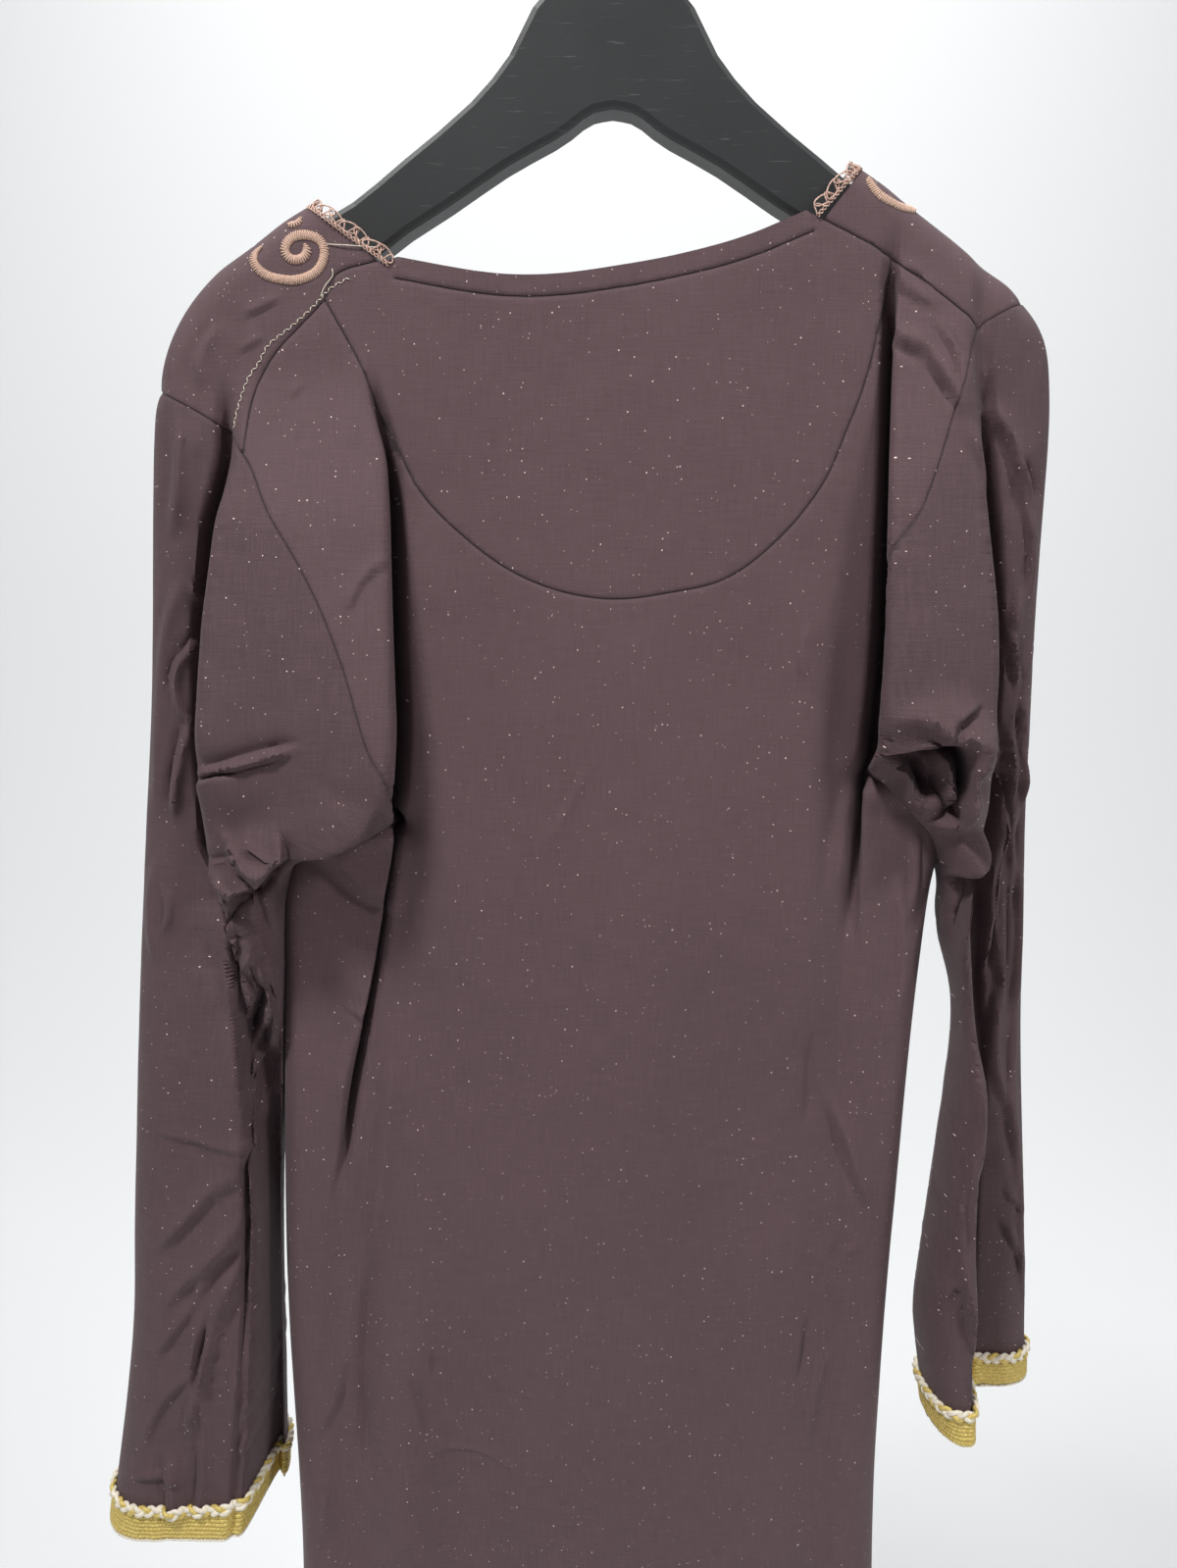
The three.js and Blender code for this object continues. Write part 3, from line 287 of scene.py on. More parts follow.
# %% Lips of the right sleeve
RIGHT_LIPS = [columns(LIP, rows) for rows in (
    # the bag's rolled rim, an arch over the hollow of the underarm
    """126 -426 0 10 0 0   133 -422 5 12 10 5   143 -415 6 14 24 6   155 -413 6 14 26 6
    166 -415 5 12 22 5   171 -424 5 10 16 5   171.5 -440 5 10 12 4   170 -452 4 9 8 3
    166 -462 0 8 0 0""",
    # folds inside that hollow
    "152 -417 0 5 0 0   161 -433 5 6 3 2   167 -447 5 6 3 2   169 -460 0 6 0 0",
    "156 -430 0 4 0 0   160 -442 4 4 2 1   164 -456 0 4 0 0",
    # the lower lobe, over the hole
    "160 -512 0 8 0 0   166 -489 4 10 12 4   176 -476 5 10 16 5   180 -470 3 8 6 3   179 -462 0 8 0 0",
    # the outer strip's edge beside the hole
    "180 -478 0 8 0 0   180 -490 3 8 10 3   178 -508 3 8 12 3   176 -531 2 8 6 2   178 -552 0 8 0 0",
    "150 -411 0 8 0 0   161 -404 2 10 1.5 1   173 -398 0 8 0 0",
    """196 -555 0 8 0 0   197 -515 3 9 4 3   197 -474 3 9 4 3   194 -443 3 8 4 3   190 -428 0 8 0 0""",
    "201 -495 0 7 0 0   202 -469 3 8 3 2   197 -439 0 7 0 0",
    "208 -487 0 7 0 0   210 -444 2.5 8 3 2   207 -424 0 7 0 0")]
print(len(LEFT_LIPS), "lips on the left sleeve,", len(RIGHT_LIPS), "on the right")

# %% [markdown]
# ## Smooth lines
# A seam or a folded edge of real cloth has no corners. It could be one of Blender's curve objects, but then
# its other columns, such as the fold's reach, would be lost. A spline through the table's points keeps
# them. All helpers take whole arrays of points at once, which keeps them quick.


# %% Easing and mixing
def smooth(t):
    """Eases from 0 to 1."""
    t = np.clip(t, 0, 1)
    return t * t * (3 - 2 * t)


def mix(a, b, t):
    return a + (b - a) * t


# %% A spline through a table
def smooth_line(table, step=3.0):
    """A centripetal spline through the table's points, as a dict of the same columns."""
    names = list(table)
    knots = np.stack([table["x"], table["z"]], 1)
    p = np.concatenate([[2 * knots[0] - knots[1]], knots, [2 * knots[-1] - knots[-2]]])
    out = {name: [] for name in names}
    for i in range(len(knots) - 1):
        a, b, c, d = p[i:i + 4]
        da, db, dc = (max(np.linalg.norm(v) ** 0.5, 1e-3) for v in (b - a, c - b, d - c))
        start = ((b - a) / da - (c - a) / (da + db) + (c - b) / db) * db
        end = ((c - b) / db - (d - b) / (db + dc) + (d - c) / dc) * db
        count = max(1, round(np.linalg.norm(c - b) / step))
        t = np.arange(count + (i == len(knots) - 2)) / count
        h = t[:, None]
        at = (2 * h**3 - 3 * h**2 + 1) * b + (h**3 - 2 * h**2 + h) * start
        at = at + (3 * h**2 - 2 * h**3) * c + (h**3 - h**2) * end
        out["x"].append(at[:, 0])
        out["z"].append(at[:, 1])
        for name in names:
            if name not in ("x", "z"):
                out[name].append(mix(table[name][i], table[name][i + 1], t))
    return {name: np.concatenate(parts) for name, parts in out.items()}


# %% The distance to a line
FAR_AWAY = 1000.0  # mm, for points beyond a line's reach


def nearest(line, x, z, reach=45.0):
    """Distance from each point to the line, and the line's own columns there."""
    columns_too = [name for name in line if name not in ("x", "z")]
    near = (x > line["x"].min() - reach) & (x < line["x"].max() + reach)
    near &= (z > line["z"].min() - reach) & (z < line["z"].max() + reach)
    if not near.all():
        d, at = np.full(len(x), FAR_AWAY), {}
        if near.any():
            d[near], part = nearest(line, x[near], z[near], reach)
        for name in [*columns_too, "side", "left_x", "left_z"]:
            at[name] = np.full(len(x), line[name][-1] if name in line else 1.0)
            if near.any():
                at[name][near] = part[name]
        return d, at
    best = np.full(len(x), np.inf)
    found = {name: np.zeros(len(x)) for name in [*columns_too, "side", "left_x", "left_z"]}
    for i in range(len(line["x"]) - 1):
        ax, az = line["x"][i], line["z"][i]
        ux, uz = line["x"][i + 1] - ax, line["z"][i + 1] - az
        t = np.clip(((x - ax) * ux + (z - az) * uz) / (ux * ux + uz * uz), 0, 1)
        d = np.hypot(x - ax - ux * t, z - az - uz * t)
        closer = d < best
        best = np.where(closer, d, best)
        length = math.hypot(ux, uz)
        found["side"][closer] = np.where((z - az) * ux > (x - ax) * uz, 1, -1)[closer]
        found["left_x"][closer], found["left_z"][closer] = -uz / length, ux / length
        for name in columns_too:
            found[name][closer] = mix(line[name][i], line[name][i + 1], t)[closer]
    return best, found


# %% Points, directions and lines beside a line
def points_of(line):
    """The line's points, whether it comes as columns or as points."""
    return np.stack([line["x"], line["z"]], 1) if isinstance(line, dict) else line


def directions(points):
    """The line's direction at each of its points, of length 1."""
    along = np.gradient(points, axis=0)
    return along / np.linalg.norm(along, axis=1)[:, None]


def travelled(points):
    """How far along the line each of its points lies."""
    return np.append(0, np.cumsum(np.linalg.norm(np.diff(points, axis=0), axis=1)))


def left_of(along):
    """The direction a quarter turn to the left."""
    return np.stack([-along[:, 1], along[:, 0]], 1)


def offset(points, by):
    """The line moved `by` to the left of its own direction."""
    return points + by * left_of(directions(points))


def inside(points, polygon):
    """Which points lie inside the closed polygon."""
    x, z = points.T
    hit = np.zeros(len(x), bool)
    for (ax, az), (bx, bz) in zip(polygon, np.roll(polygon, -1, axis=0)):
        if az != bz:
            crosses = (az > z) != (bz > z)
            hit ^= crosses & (x < (bx - ax) * (z - az) / (bz - az) + ax)
    return hit


# %% The folded edges and seams as smooth lines
RIDGES = [smooth_line(RIDGE_LEFT), smooth_line(RIDGE_RIGHT)]
OUTERS = {"left": smooth_line(OUTER_LEFT), "right": smooth_line(OUTER_RIGHT)}
INNERS = {"left": smooth_line(INNER_LEFT), "right": smooth_line(INNER_RIGHT)}
SIDES = {"left": smooth_line(SIDE_LEFT), "right": smooth_line(SIDE_RIGHT)}
ARMHOLES = {"left": smooth_line(ARMHOLE_LEFT), "right": smooth_line(ARMHOLE_RIGHT)}
EDGES = {
    "body": RIDGES + [OUTERS["left"], OUTERS["right"], SIDES["left"], SIDES["right"]],
    "left": [RIDGES[0], OUTERS["left"], INNERS["left"]],
    "right": [RIDGES[1], OUTERS["right"], INNERS["right"]],
}
neck_back, neck_front = smooth_line(NECK_BACK), smooth_line(NECK_FRONT)
yoke_seam = smooth_line(YOKE_SEAM)
shoulder_left, shoulder_right = smooth_line(SHOULDER_SEAM_LEFT), smooth_line(SHOULDER_SEAM_RIGHT)
neck_seam = offset(points_of(neck_back), -NECK_BAND)
LIPS = {"body": [], "left": [smooth_line(lip, 2.0) for lip in LEFT_LIPS],
        "right": [smooth_line(lip, 2.0) for lip in RIGHT_LIPS]}
print("folded edges:", sum(len(e["x"]) for e in EDGES["body"]), "points")


# %% [markdown]
# ## From the drawing to the cloth
# Cloth that hangs is never flat: it swells over the body it was cut for, sinks into its tucks and turns over
# at its folded edges. A stack of Blender's modifiers could bend a flat sheet that way, but each would hide a
# part of the shape. One function gives the place of the cloth for any point of the drawing instead, so that
# threads and seams can be laid on the same surface later.


# %% The side folds with rounded corners
MIDDLE_X = 8  # where the left side's folds end and the right side's begin
DEEP_TUCK = {"left": 3.0, "right": 4.4}  # half widths of the tucks
ROW_STEP, ROUNDING = 2.0, 8  # mm between the rows of a rounded table; rows on each side that round a corner


def rounded(values, reach):
    """A row of numbers with its corners rounded over `reach` places on each side."""
    kernel = np.hanning(2 * reach + 1)
    return np.convolve(np.pad(values, reach, "edge"), kernel / kernel.sum(), "valid")


def eased(table):
    """The table resampled at even heights, with its corners rounded."""
    z = np.arange(table["z"][0] + 30, table["z"][-1] - 30, -ROW_STEP)
    rows = {name: np.interp(-z, -table["z"], table[name]) for name in table}
    return {**{name: rounded(row, ROUNDING) for name, row in rows.items()}, "z": z}


FOLDS_LEFT, FOLDS_RIGHT = eased(FOLDS_LEFT), eased(FOLDS_RIGHT)


def folds_at(x, z):
    """The row of the depth table for each point, its side's sign, and how far the tuck and the gap are."""
    on_left = x < MIDDLE_X
    row = {name: np.where(on_left, *(np.interp(-z, -table["z"], table[name])
                                     for table in (FOLDS_LEFT, FOLDS_RIGHT)))
           for name in FOLDS_LEFT if name != "z"}
    sign = np.where(on_left, 1, -1)
    tuck_half = np.where(on_left, DEEP_TUCK["left"], DEEP_TUCK["right"])
    return on_left, row, sign, (x - row["tuck"]) * sign, (x - row["gap"]) * sign, tuck_half


print(len(FOLDS_LEFT["z"]), "rounded rows on the left")


# %% Creases: a sharp crest with a narrow trough beside it
NARROW = 0.62  # share of the table's half width that the crest takes
TROUGH = 0.55  # depth and width of the trough beside the crest, as shares of the crest's
BLUNT = 0.6  # mm over which the crest is rounded


def creases_at(table, x, z, slide=0.0, mirror=None):
    """Rise of the creases and the sideways lean of their crests."""
    if mirror is not None:
        x = mirror - x
    rise, lean_x, lean_z = (np.zeros(len(x)) for _ in range(3))
    for x0, z0, x1, z1, bow, half, up, over in zip(*(table[name] for name in CREASE.split())):
        z0, z1, half = z0 + slide, z1 + slide, NARROW * half
        length = math.hypot(x1 - x0, z1 - z0)
        ux, uz = (x1 - x0) / length, (z1 - z0) / length
        near = np.hypot(x - (x0 + x1) / 2, z - (z0 + z1) / 2) < 0.7 * length + 5 * half + abs(bow)
        px, pz = x[near], z[near]
        t = ((px - x0) * ux + (pz - z0) * uz) / length
        side = (pz - z0) * ux - (px - x0) * uz - bow * 4 * t * (1 - t)
        ends = smooth((t + 0.15) / 0.4) * smooth((1.15 - t) / 0.4)
        crest = np.exp(-((np.hypot(side, BLUNT) / half) ** 1.15))
        trough = np.exp(-(((side + 1.2 * half) / (TROUGH * half)) ** 2))
        weight = ends * (crest - TROUGH * trough)
        rise[near] += up * weight
        lean_x[near] -= uz * over * weight
        lean_z[near] += ux * over * weight
    if mirror is not None:
        lean_x = -lean_x
    return rise, lean_x, lean_z


# %% Lips: a steep drop and a hollow on one side
LIP_DROP, HOLLOW = 1.5, 8  # mm over which the lip drops, and over which its hollow fades


def lips_at(lips, x, z):
    """Rise and lean of the lips."""
    rise, lean_x, lean_z = (np.zeros(len(x)) for _ in range(3))
    for lip in lips:
        d, at = nearest(lip, x, z)
        d = d * at["side"]
        high = np.exp(-((np.clip(d, 0, None) / at["wide"]) ** 2))
        drop = np.exp(-((np.clip(d, None, 0) / LIP_DROP) ** 2))
        low = -at["dip"] * (1 - drop) * np.exp(-((d / HOLLOW) ** 2))
        rise += np.where(d > 0, at["rise"] * high, at["rise"] * drop + low)
        out = at["over"] * (np.exp(-(((d - 1.5) / 4.5) ** 2)) - 0.4 * np.exp(-(((d + 4) / 3) ** 2)))
        lean_x -= at["left_x"] * out
        lean_z -= at["left_z"] * out
    return rise, lean_x, lean_z


# %% Edges that lean over the tucks
def tuck_lean(x, z):
    """The rolled edges beside the deep tucks lean over them."""
    on_left, row, sign, tuck, gap, tuck_half = folds_at(x, z)
    lean = np.where(on_left, 0.30, 0.55) * row["tuckIn"] * np.exp(-(((tuck + 5) / 4) ** 2))
    lean -= 0.75 * row["tuckIn"] * np.exp(-(((tuck - 1) / tuck_half) ** 4))
    share = smooth((z + 500) / 30)  # 1 beside the bag, 0 below it
    bag_over = -0.15 * row["gapIn"] * np.exp(-(((gap - 9) / 4.5) ** 2)) * share
    strip_over = 0.45 * row["gapIn"] * np.exp(-(((gap + 6) / 4.5) ** 2)) * (1 - share) * on_left
    return sign * (lean + bag_over + strip_over)


# %% Falls and unevenness
def falls_at(x, z):
    """Long soft folds that fall from the yoke and the waist."""
    total = np.zeros(len(x))
    for x0, z0, x1, z1, width, out in zip(*FALLS.values()):
        ux, uz = x1 - x0, z1 - z0
        t = ((x - x0) * ux + (z - z0) * uz) / (ux * ux + uz * uz)
        d = ((x - x0) * uz - (z - z0) * ux) / math.hypot(ux, uz)
        total += out * smooth(t / 0.2) * smooth((1 - t) / 0.3) * np.exp(-((d / width) ** 2))
    return total


def soft_noise(x, z, size_x, size_z, seed):
    """Smooth random values, about -1 to 1, with lumps of the given size."""
    return np.array([noise.noise(Vector((a / size_x, b / size_z, seed))) for a, b in zip(x, z)])


# %% Depth of the open cloth
HEM_START, HEM_OVER = -950, 450  # the flutes of the hem begin here, and grow over this height
FLUTE = 13  # depth of the hem's flutes


def open_depth(piece, face, x, z):
    """Depth of the open cloth, before it turns over at its folded edges."""
    on_left, row, sign, from_tuck, from_gap, tuck_half = folds_at(x, z)
    under = np.where(on_left, UNDERARM["left"], UNDERARM["right"])
    body = piece == "body"
    below = smooth((under + 15 - z) / 34) if body else 0 * x
    hem = smooth((HEM_START - z) / HEM_OVER)
    flute = FLUTE * hem * np.cos(x / 20 + (0.4 if face == "back" else 2.1))
    in_bag = np.where(body, 1, smooth((from_gap + 6 if face == "front" else from_gap - 1) / 11))
    if face == "front":
        bag = mix(row["frontBag"], CENTRE_FRONT, below)
        side = mix(row["frontOuter"], bag, in_bag)
        return mix(side, CENTRE_FRONT + 8 * hem, smooth((from_tuck + 20) / 44)) + flute
    flat = smooth((from_tuck + 7) / 11)
    in_bag = np.where(body & (z >= under), smooth((from_gap - 1) / 11), in_bag)
    bag = mix(row["bag"], row["strip"], below)
    side = mix(row["outer"], bag, in_bag)
    gap = np.where(body & (z < under), 0, 1.7 * row["gapIn"] * np.exp(-(((from_gap + 1) / 3.4) ** 4)))
    tuck = 2.2 * row["tuckIn"] * np.exp(-(((from_tuck - 1) / tuck_half) ** 4))
    soft = falls_at(x, z) * flat * (z < -230) if body else 0 * x
    return mix(side, CENTRE_BACK - 8 * hem, flat) + gap + tuck - soft + flute


# %% The open surface, with its creases
FRONT_MIRROR = -24  # the front carries like creases, mirrored about the garment's middle
FRONT_SLIDE = {"body": -18.0, "left": 24.0, "right": -30.0}  # and moved up or down by this
LUMPS = [(0.8, 34, 70, 3.1), (0.35, 12, 22, 8.7), (0.25, 7, 17, 5.3)]  # height, width, length, seed
LIVELY = {"body": (1.35, 1.0), "left": (1.7, 2.2), "right": (1.7, 2.2)}  # gains of creases and lumps


def open_surface(piece, face, x, z):
    """Depth of the open cloth with its creases, and the sideways lean of their crests."""
    y = open_depth(piece, face, x, z)
    back = face == "back"
    swell = 9 * smooth((150 - np.abs(x - 10)) / 150) * smooth((-230 - z) / 300)
    if piece == "body":
        y = y - swell if back else y + swell
    mirror = FRONT_MIRROR if piece == "body" and not back else None
    rise, lean_x, lean_z = creases_at(CREASES[piece], x, z, 0 if back else FRONT_SLIDE[piece], mirror)
    if back:
        lip_rise, lip_x, lip_z = lips_at(LIPS[piece], x, z)
        rise, lean_x, lean_z = rise + lip_rise, lean_x + lip_x, lean_z + lip_z
    uneven = sum(height * soft_noise(x, z, *lump) for height, *lump in LUMPS)
    rise, uneven = (gain * value for gain, value in zip(LIVELY[piece], (rise, uneven)))
    return y - (rise + uneven) * (1 if back else -1), lean_x, lean_z


# %% The cloth, turned over at its folded edges
SEAM_EASE = 22  # mm beside the armhole over which the sleeve leaves the body's surface
EDGE_EASE = 8  # mm beside an edge over which nothing leans


def turn_edges(piece, x, z, y):
    """Rounds the cloth over at each folded edge, where back and front meet."""
    for line in EDGES[piece]:
        d, edge = nearest(line, x, z)
        t = np.clip(d / edge["r"], 0, 1)
        y = mix(edge["y"], y, np.sqrt(1 - (1 - t) ** 2))
    return y


def clear_of(lines, x, z):
    """0 on the lines, easing to 1 beside them."""
    weight = np.ones(len(x))
    for line in lines:
        weight = weight * smooth(nearest(line, x, z)[0] / EDGE_EASE)
    return weight


def cloth_points(piece, face, x, z):
    """Places of the cloth, in millimetres, for points of the drawing."""
    y, lean_x, lean_z = open_surface(piece, face, x, z)
    if piece != "body":  # next to the armhole a sleeve lies as the body does, so that the seam closes
        body_y = open_surface("body", face, x, z)[0]
        y = mix(body_y, y, smooth(nearest(ARMHOLES[piece], x, z)[0] / SEAM_EASE))
    y = turn_edges(piece, x, z, y)
    off_edges = clear_of(EDGES[piece], x, z)
    off_seams = clear_of(ARMHOLES.values() if piece == "body" else [ARMHOLES[piece]], x, z)
    free = off_edges * off_seams
    if face == "back":
        x = x + tuck_lean(x, z) * off_edges
    return np.stack([x + lean_x * free, y, z + lean_z * free], 1)


# %% [markdown]
# ## Cutting the sheets
# A tailor cuts a sheet along its outline, and here the outline is filled with triangles. Blender could also
# subdivide a grid evenly, but a seam's groove is thinner than a millimetre, and an even grid that fine is
# far too heavy. So the mesh is coarse where nothing happens, and extra rows of points run beside each
# folded edge, seam, lip and crease.


# %% The creases' own lines
def crease_lines(table):
    """The middle line of each crease, for the mesh to follow."""
    lines = []
    for x0, z0, x1, z1, bow in zip(*(table[name] for name in "x0 z0 x1 z1 bow".split())):
        length = math.hypot(x1 - x0, z1 - z0)
        t = np.linspace(-0.05, 1.05, max(5, round(length / 3)))
        out = bow * 4 * t * (1 - t) / length
        x, z = x0 + (x1 - x0) * t - (z1 - z0) * out, z0 + (z1 - z0) * t + (x1 - x0) * out
        lines.append(np.stack([x, z], 1))
    return lines


# %% Points beside the lines, and a lattice between them
FOLD_ROWS = (0.25, 1.0, 2.2, 4.0, 6.2)  # mm from a line to the rows of points beside it
SEAM_ROWS = (0.9, 2.4)
LIP_ROWS = (0, 0.9, 1.8, 2.9, 4.2, 6)
BEND_ROWS = (0, 1, 2, 3, 4, 5, 6.2, 7.6, 9.4)
CREASE_ROWS = (0, 1.1, 2.3, 3.8)
ON_LINE, CLOSE, APART = 0.5, 0.24, 0.7  # rows nearer to a line than the first may lie closer together
FINE, COARSE = (-700, 2.9), (-1100, 5.4)  # height and spacing where the mesh starts and stops getting coarser
ROW_RISE, LATTICE_GAP = 0.87, 0.6  # shares of the spacing


def spread(points, taken, gap):
    """The points that keep their distance from those already taken."""
    tree = KDTree(len(taken))
    for i, (x, z) in enumerate(taken):
        tree.insert((x, z, 0), i)
    tree.balance()
    gaps = np.broadcast_to(gap, len(points))
    return points[[tree.find((x, z, 0))[2] > g for (x, z), g in zip(points, gaps)]]


def beside(lines, distances, polygon, taken):
    """The points taken so far, and rows of new ones on both sides of each line."""
    for line in lines:
        for d in distances:
            for side in (-1, 1) if d else (1,):
                row = offset(points_of(line), side * d)
                row = row[inside(row, polygon)]
                if len(row):
                    new = spread(row, taken, CLOSE if d < ON_LINE else APART)
                    taken = np.concatenate([taken, new])
    return taken


def lattice_between(polygon, taken):
    """The points taken so far, and a lattice of new ones wherever there is room."""
    low, high = polygon.min(0), polygon.max(0)
    z, odd, lattice, gaps = high[1], 0, [], []
    while z > low[1]:
        spacing = np.interp(-z, [-FINE[0], -COARSE[0]], [FINE[1], COARSE[1]])
        xs = np.arange(low[0] + odd * spacing / 2, high[0], spacing)
        lattice.append(np.stack([xs, np.full(len(xs), z)], 1))
        gaps.append(np.full(len(xs), LATTICE_GAP * spacing))
        z, odd = z - spacing * ROW_RISE, 1 - odd
    lattice, gaps = np.concatenate(lattice), np.concatenate(gaps)
    keep = inside(lattice, polygon)
    return np.concatenate([taken, spread(lattice[keep], taken, gaps[keep])])


# %% Triangles over an outline
def fill(outline, seams=(), borders=(), folds=(), lips=(), bends=(), creases=()):
    """Triangles over an outline, with extra rows beside its seams and folds. Gives points and corners."""
    polygon = np.concatenate(outline)
    step = np.linalg.norm(polygon - np.roll(polygon, 1, axis=0), axis=1)
    polygon = polygon[step > 1e-3]
    taken = [polygon]
    edges = [(i, (i + 1) % len(polygon)) for i in range(len(polygon))]
    count = len(polygon)
    for seam in seams:
        taken.append(seam)
        edges += [(count + i, count + i + 1) for i in range(len(seam) - 1)]
        count += len(seam)
    taken = np.concatenate(taken)
    for lines, distances in ((folds, FOLD_ROWS), ((*seams, *borders), SEAM_ROWS), (lips, LIP_ROWS),
                             (bends, BEND_ROWS), (creases, CREASE_ROWS)):
        taken = beside(lines, distances, polygon, taken)
    taken = lattice_between(polygon, taken)
    made = delaunay_2d_cdt([Vector(p) for p in taken], edges, [], 1, 1e-5, False)
    xz = np.array([tuple(p) for p in made[0]])
    tris = np.array(made[2], int)
    a, b, c = (xz[tris[:, k]] for k in range(3))
    area = (b[:, 0] - a[:, 0]) * (c[:, 1] - a[:, 1]) - (b[:, 1] - a[:, 1]) * (c[:, 0] - a[:, 0])
    tris[area < 0] = tris[area < 0][:, ::-1]
    return xz, tris[(np.abs(area) > 1e-4) & inside(xz[tris].mean(1), polygon)]


def beyond(line, by=0.6):
    """A seam made a little longer at both ends, so that it reaches the outline."""
    p = points_of(line)
    first = p[0] + (p[0] - p[1]) / np.linalg.norm(p[0] - p[1]) * by
    last = p[-1] + (p[-1] - p[-2]) / np.linalg.norm(p[-1] - p[-2]) * by
    return np.concatenate([[first], p, [last]])


# %% [markdown]
# ## The body, back and front
# The back is sewn from a yoke, a bound neckline and a panel below, with the front's shoulders reaching over.
# Each could be cut on its own, but then the points along a seam would have to match. One sheet is filled
# instead, and every triangle is told afterwards which piece it belongs to.

# %% The outlines of the body
LACE_WIDTH = 6.5  # the cloth stops this far short of the lace's outer edge, in mm
hem_x = np.arange(SIDES["left"]["x"][-1] + 4, SIDES["right"]["x"][-1], 4.0)
hem_line = np.stack([hem_x, np.full(len(hem_x), float(HEM_Z))], 1)


def straight(a, b, step=3.0):
    """Even points from a to b."""
    a, b = np.array(a), np.array(b)
    count = max(2, round(np.linalg.norm(b - a) / step) + 1)
    return a + (b - a) * np.linspace(0, 1, count)[:, None]


ridge_left, ridge_right = points_of(RIDGES[0])[2:], points_of(RIDGES[1])[2:]
neck_p = points_of(neck_back)
neck_cut = offset(points_of(neck_front), -LACE_WIDTH)[2:-2]
corner_left, corner_right = neck_p[0] + (-8.5, -2.5), neck_p[-1] + (7.5, -4.5)
below = [points_of(ARMHOLES["right"]), points_of(SIDES["right"]), hem_line[::-1],
         points_of(SIDES["left"])[::-1], points_of(ARMHOLES["left"])[::-1]]
back_outline = [ridge_left[::-1], straight(ridge_left[0], corner_left), neck_p,
                straight(corner_right, ridge_right[0]), ridge_right] + below
front_outline = [ridge_left[::-1], neck_cut, ridge_right] + below
print("outlines of", sum(map(len, back_outline)), "and", sum(map(len, front_outline)), "points")

# %% The body's triangles
body_folds = RIDGES + list(SIDES.values())
body_seams = [beyond(yoke_seam), beyond(shoulder_left), beyond(shoulder_right), beyond(neck_seam)]
holes = [points_of(ARMHOLES["left"]), points_of(ARMHOLES["right"])]
bends = {side: [np.stack([row[name], row["z"]], 1) for name in ("tuck", "gap")]
         for side, row in (("left", FOLDS_LEFT), ("right", FOLDS_RIGHT))}
back_xz, back_tris = fill(back_outline, body_seams, holes, body_folds, LIPS["body"],
                          [b[b[:, 1] > FINE[0]] for b in (bends["left"][0], bends["right"][0])],
                          crease_lines(BACK_CREASES))
front_xz, front_tris = fill(front_outline, (), holes, body_folds)
print("back", len(back_tris), "front", len(front_tris), "triangles")

# %% Which piece each triangle of the back belongs to
FAR, ABOVE = 400, -150  # beyond the garment's sides and above its shoulders, in mm
left_p, right_p = points_of(shoulder_left), points_of(shoulder_right)
yoke_p = points_of(yoke_seam)
back_region = np.concatenate([
    [(-FAR, left_p[-1, 1] - 1)], left_p[::-1], [neck_p[0] + (0, 30)], [neck_p[-1] + (0, 30)],
    right_p, [(FAR, right_p[-1, 1] - 1), (FAR, HEM_Z - 50), (-FAR, HEM_Z - 50)]])
yoke_region = np.concatenate([yoke_p, [(128, ABOVE), (-134, ABOVE)]])
band_region = np.concatenate([neck_seam, [(110, ABOVE), (-120, ABOVE)]])
centre = back_xz[back_tris].mean(1)
in_back, in_yoke, in_band = (inside(centre, part) for part in (back_region, yoke_region, band_region))
labels = np.select([~in_back, ~in_yoke, in_band], ["front", "back", "neck_binding"], "back_yoke")
print({name: int((labels == name).sum()) for name in np.unique(labels)})


# %% [markdown]
# ## Seams
# A seam pulls the cloth in along a thin line and puckers it slightly. A bump in the material would look the
# same from the front, but not at the outline of a shoulder. So the groove is part of the surface, and a
# painted shade for the groove is kept with each point, for the material to darken the line of stitches.


# %% Seam grooves
# The last of these half widths is that of the painted shade along a seam's groove.
GROOVE, GROOVE_HALF, PAINTED_SHADE_HALF = 0.9, 0.7, 0.45  # depth and half widths, in mm
PUCKER, PUCKER_HALF = 0.28, 4.5  # height and reach of the pucker beside a seam, in mm


def seam_press(points, seams):
    """How far seams pull the cloth in, and the painted shade that darkens their groove."""
    press, dark = np.zeros(len(points)), np.zeros(len(points))
    for seam, strength in seams:
        d, at = nearest(dict(x=seam[:, 0], z=seam[:, 1], s=np.arange(len(seam)) * 3.0), *points.T)
        pucker = 0.5 * np.sin(at["s"] / 1.9) + 0.5 * np.sin(at["s"] / 3.3 + 1)
        press = np.maximum(press, strength * GROOVE * np.exp(-((d / GROOVE_HALF) ** 2)))
        press += PUCKER * pucker * np.exp(-((d / PUCKER_HALF) ** 2))
        dark = np.maximum(dark, strength * np.exp(-((d / PAINTED_SHADE_HALF) ** 2)))
    return press, dark


# %% [markdown]
# ## A sheet with a thickness
# Real crepe is about a millimetre thick, and at a cut edge that shows. Blender's Solidify modifier could
# give it, but it would wall off every seam between two pieces of the same sheet. Here each piece gets an
# outer skin, an inner skin and rims of its own, while all pieces share the normals of the whole garment.

# %% Welding and normals
WELD = 200  # points that round to the same 1/200 mm are one


def weld(points, tris):
    """Joins points that lie together and drops triangles that vanish."""
    keys = np.round(points * WELD).astype(np.int64)
    _, first, where = np.unique(keys, axis=0, return_index=True, return_inverse=True)
    where = where.reshape(-1)
    order = np.argsort(first)
    rank = np.empty(len(order), int)
    rank[order] = np.arange(len(order))
    tris = rank[where][tris]
    good = (tris[:, 0] != tris[:, 1]) & (tris[:, 1] != tris[:, 2]) & (tris[:, 2] != tris[:, 0])
    return first[order], tris[good], good


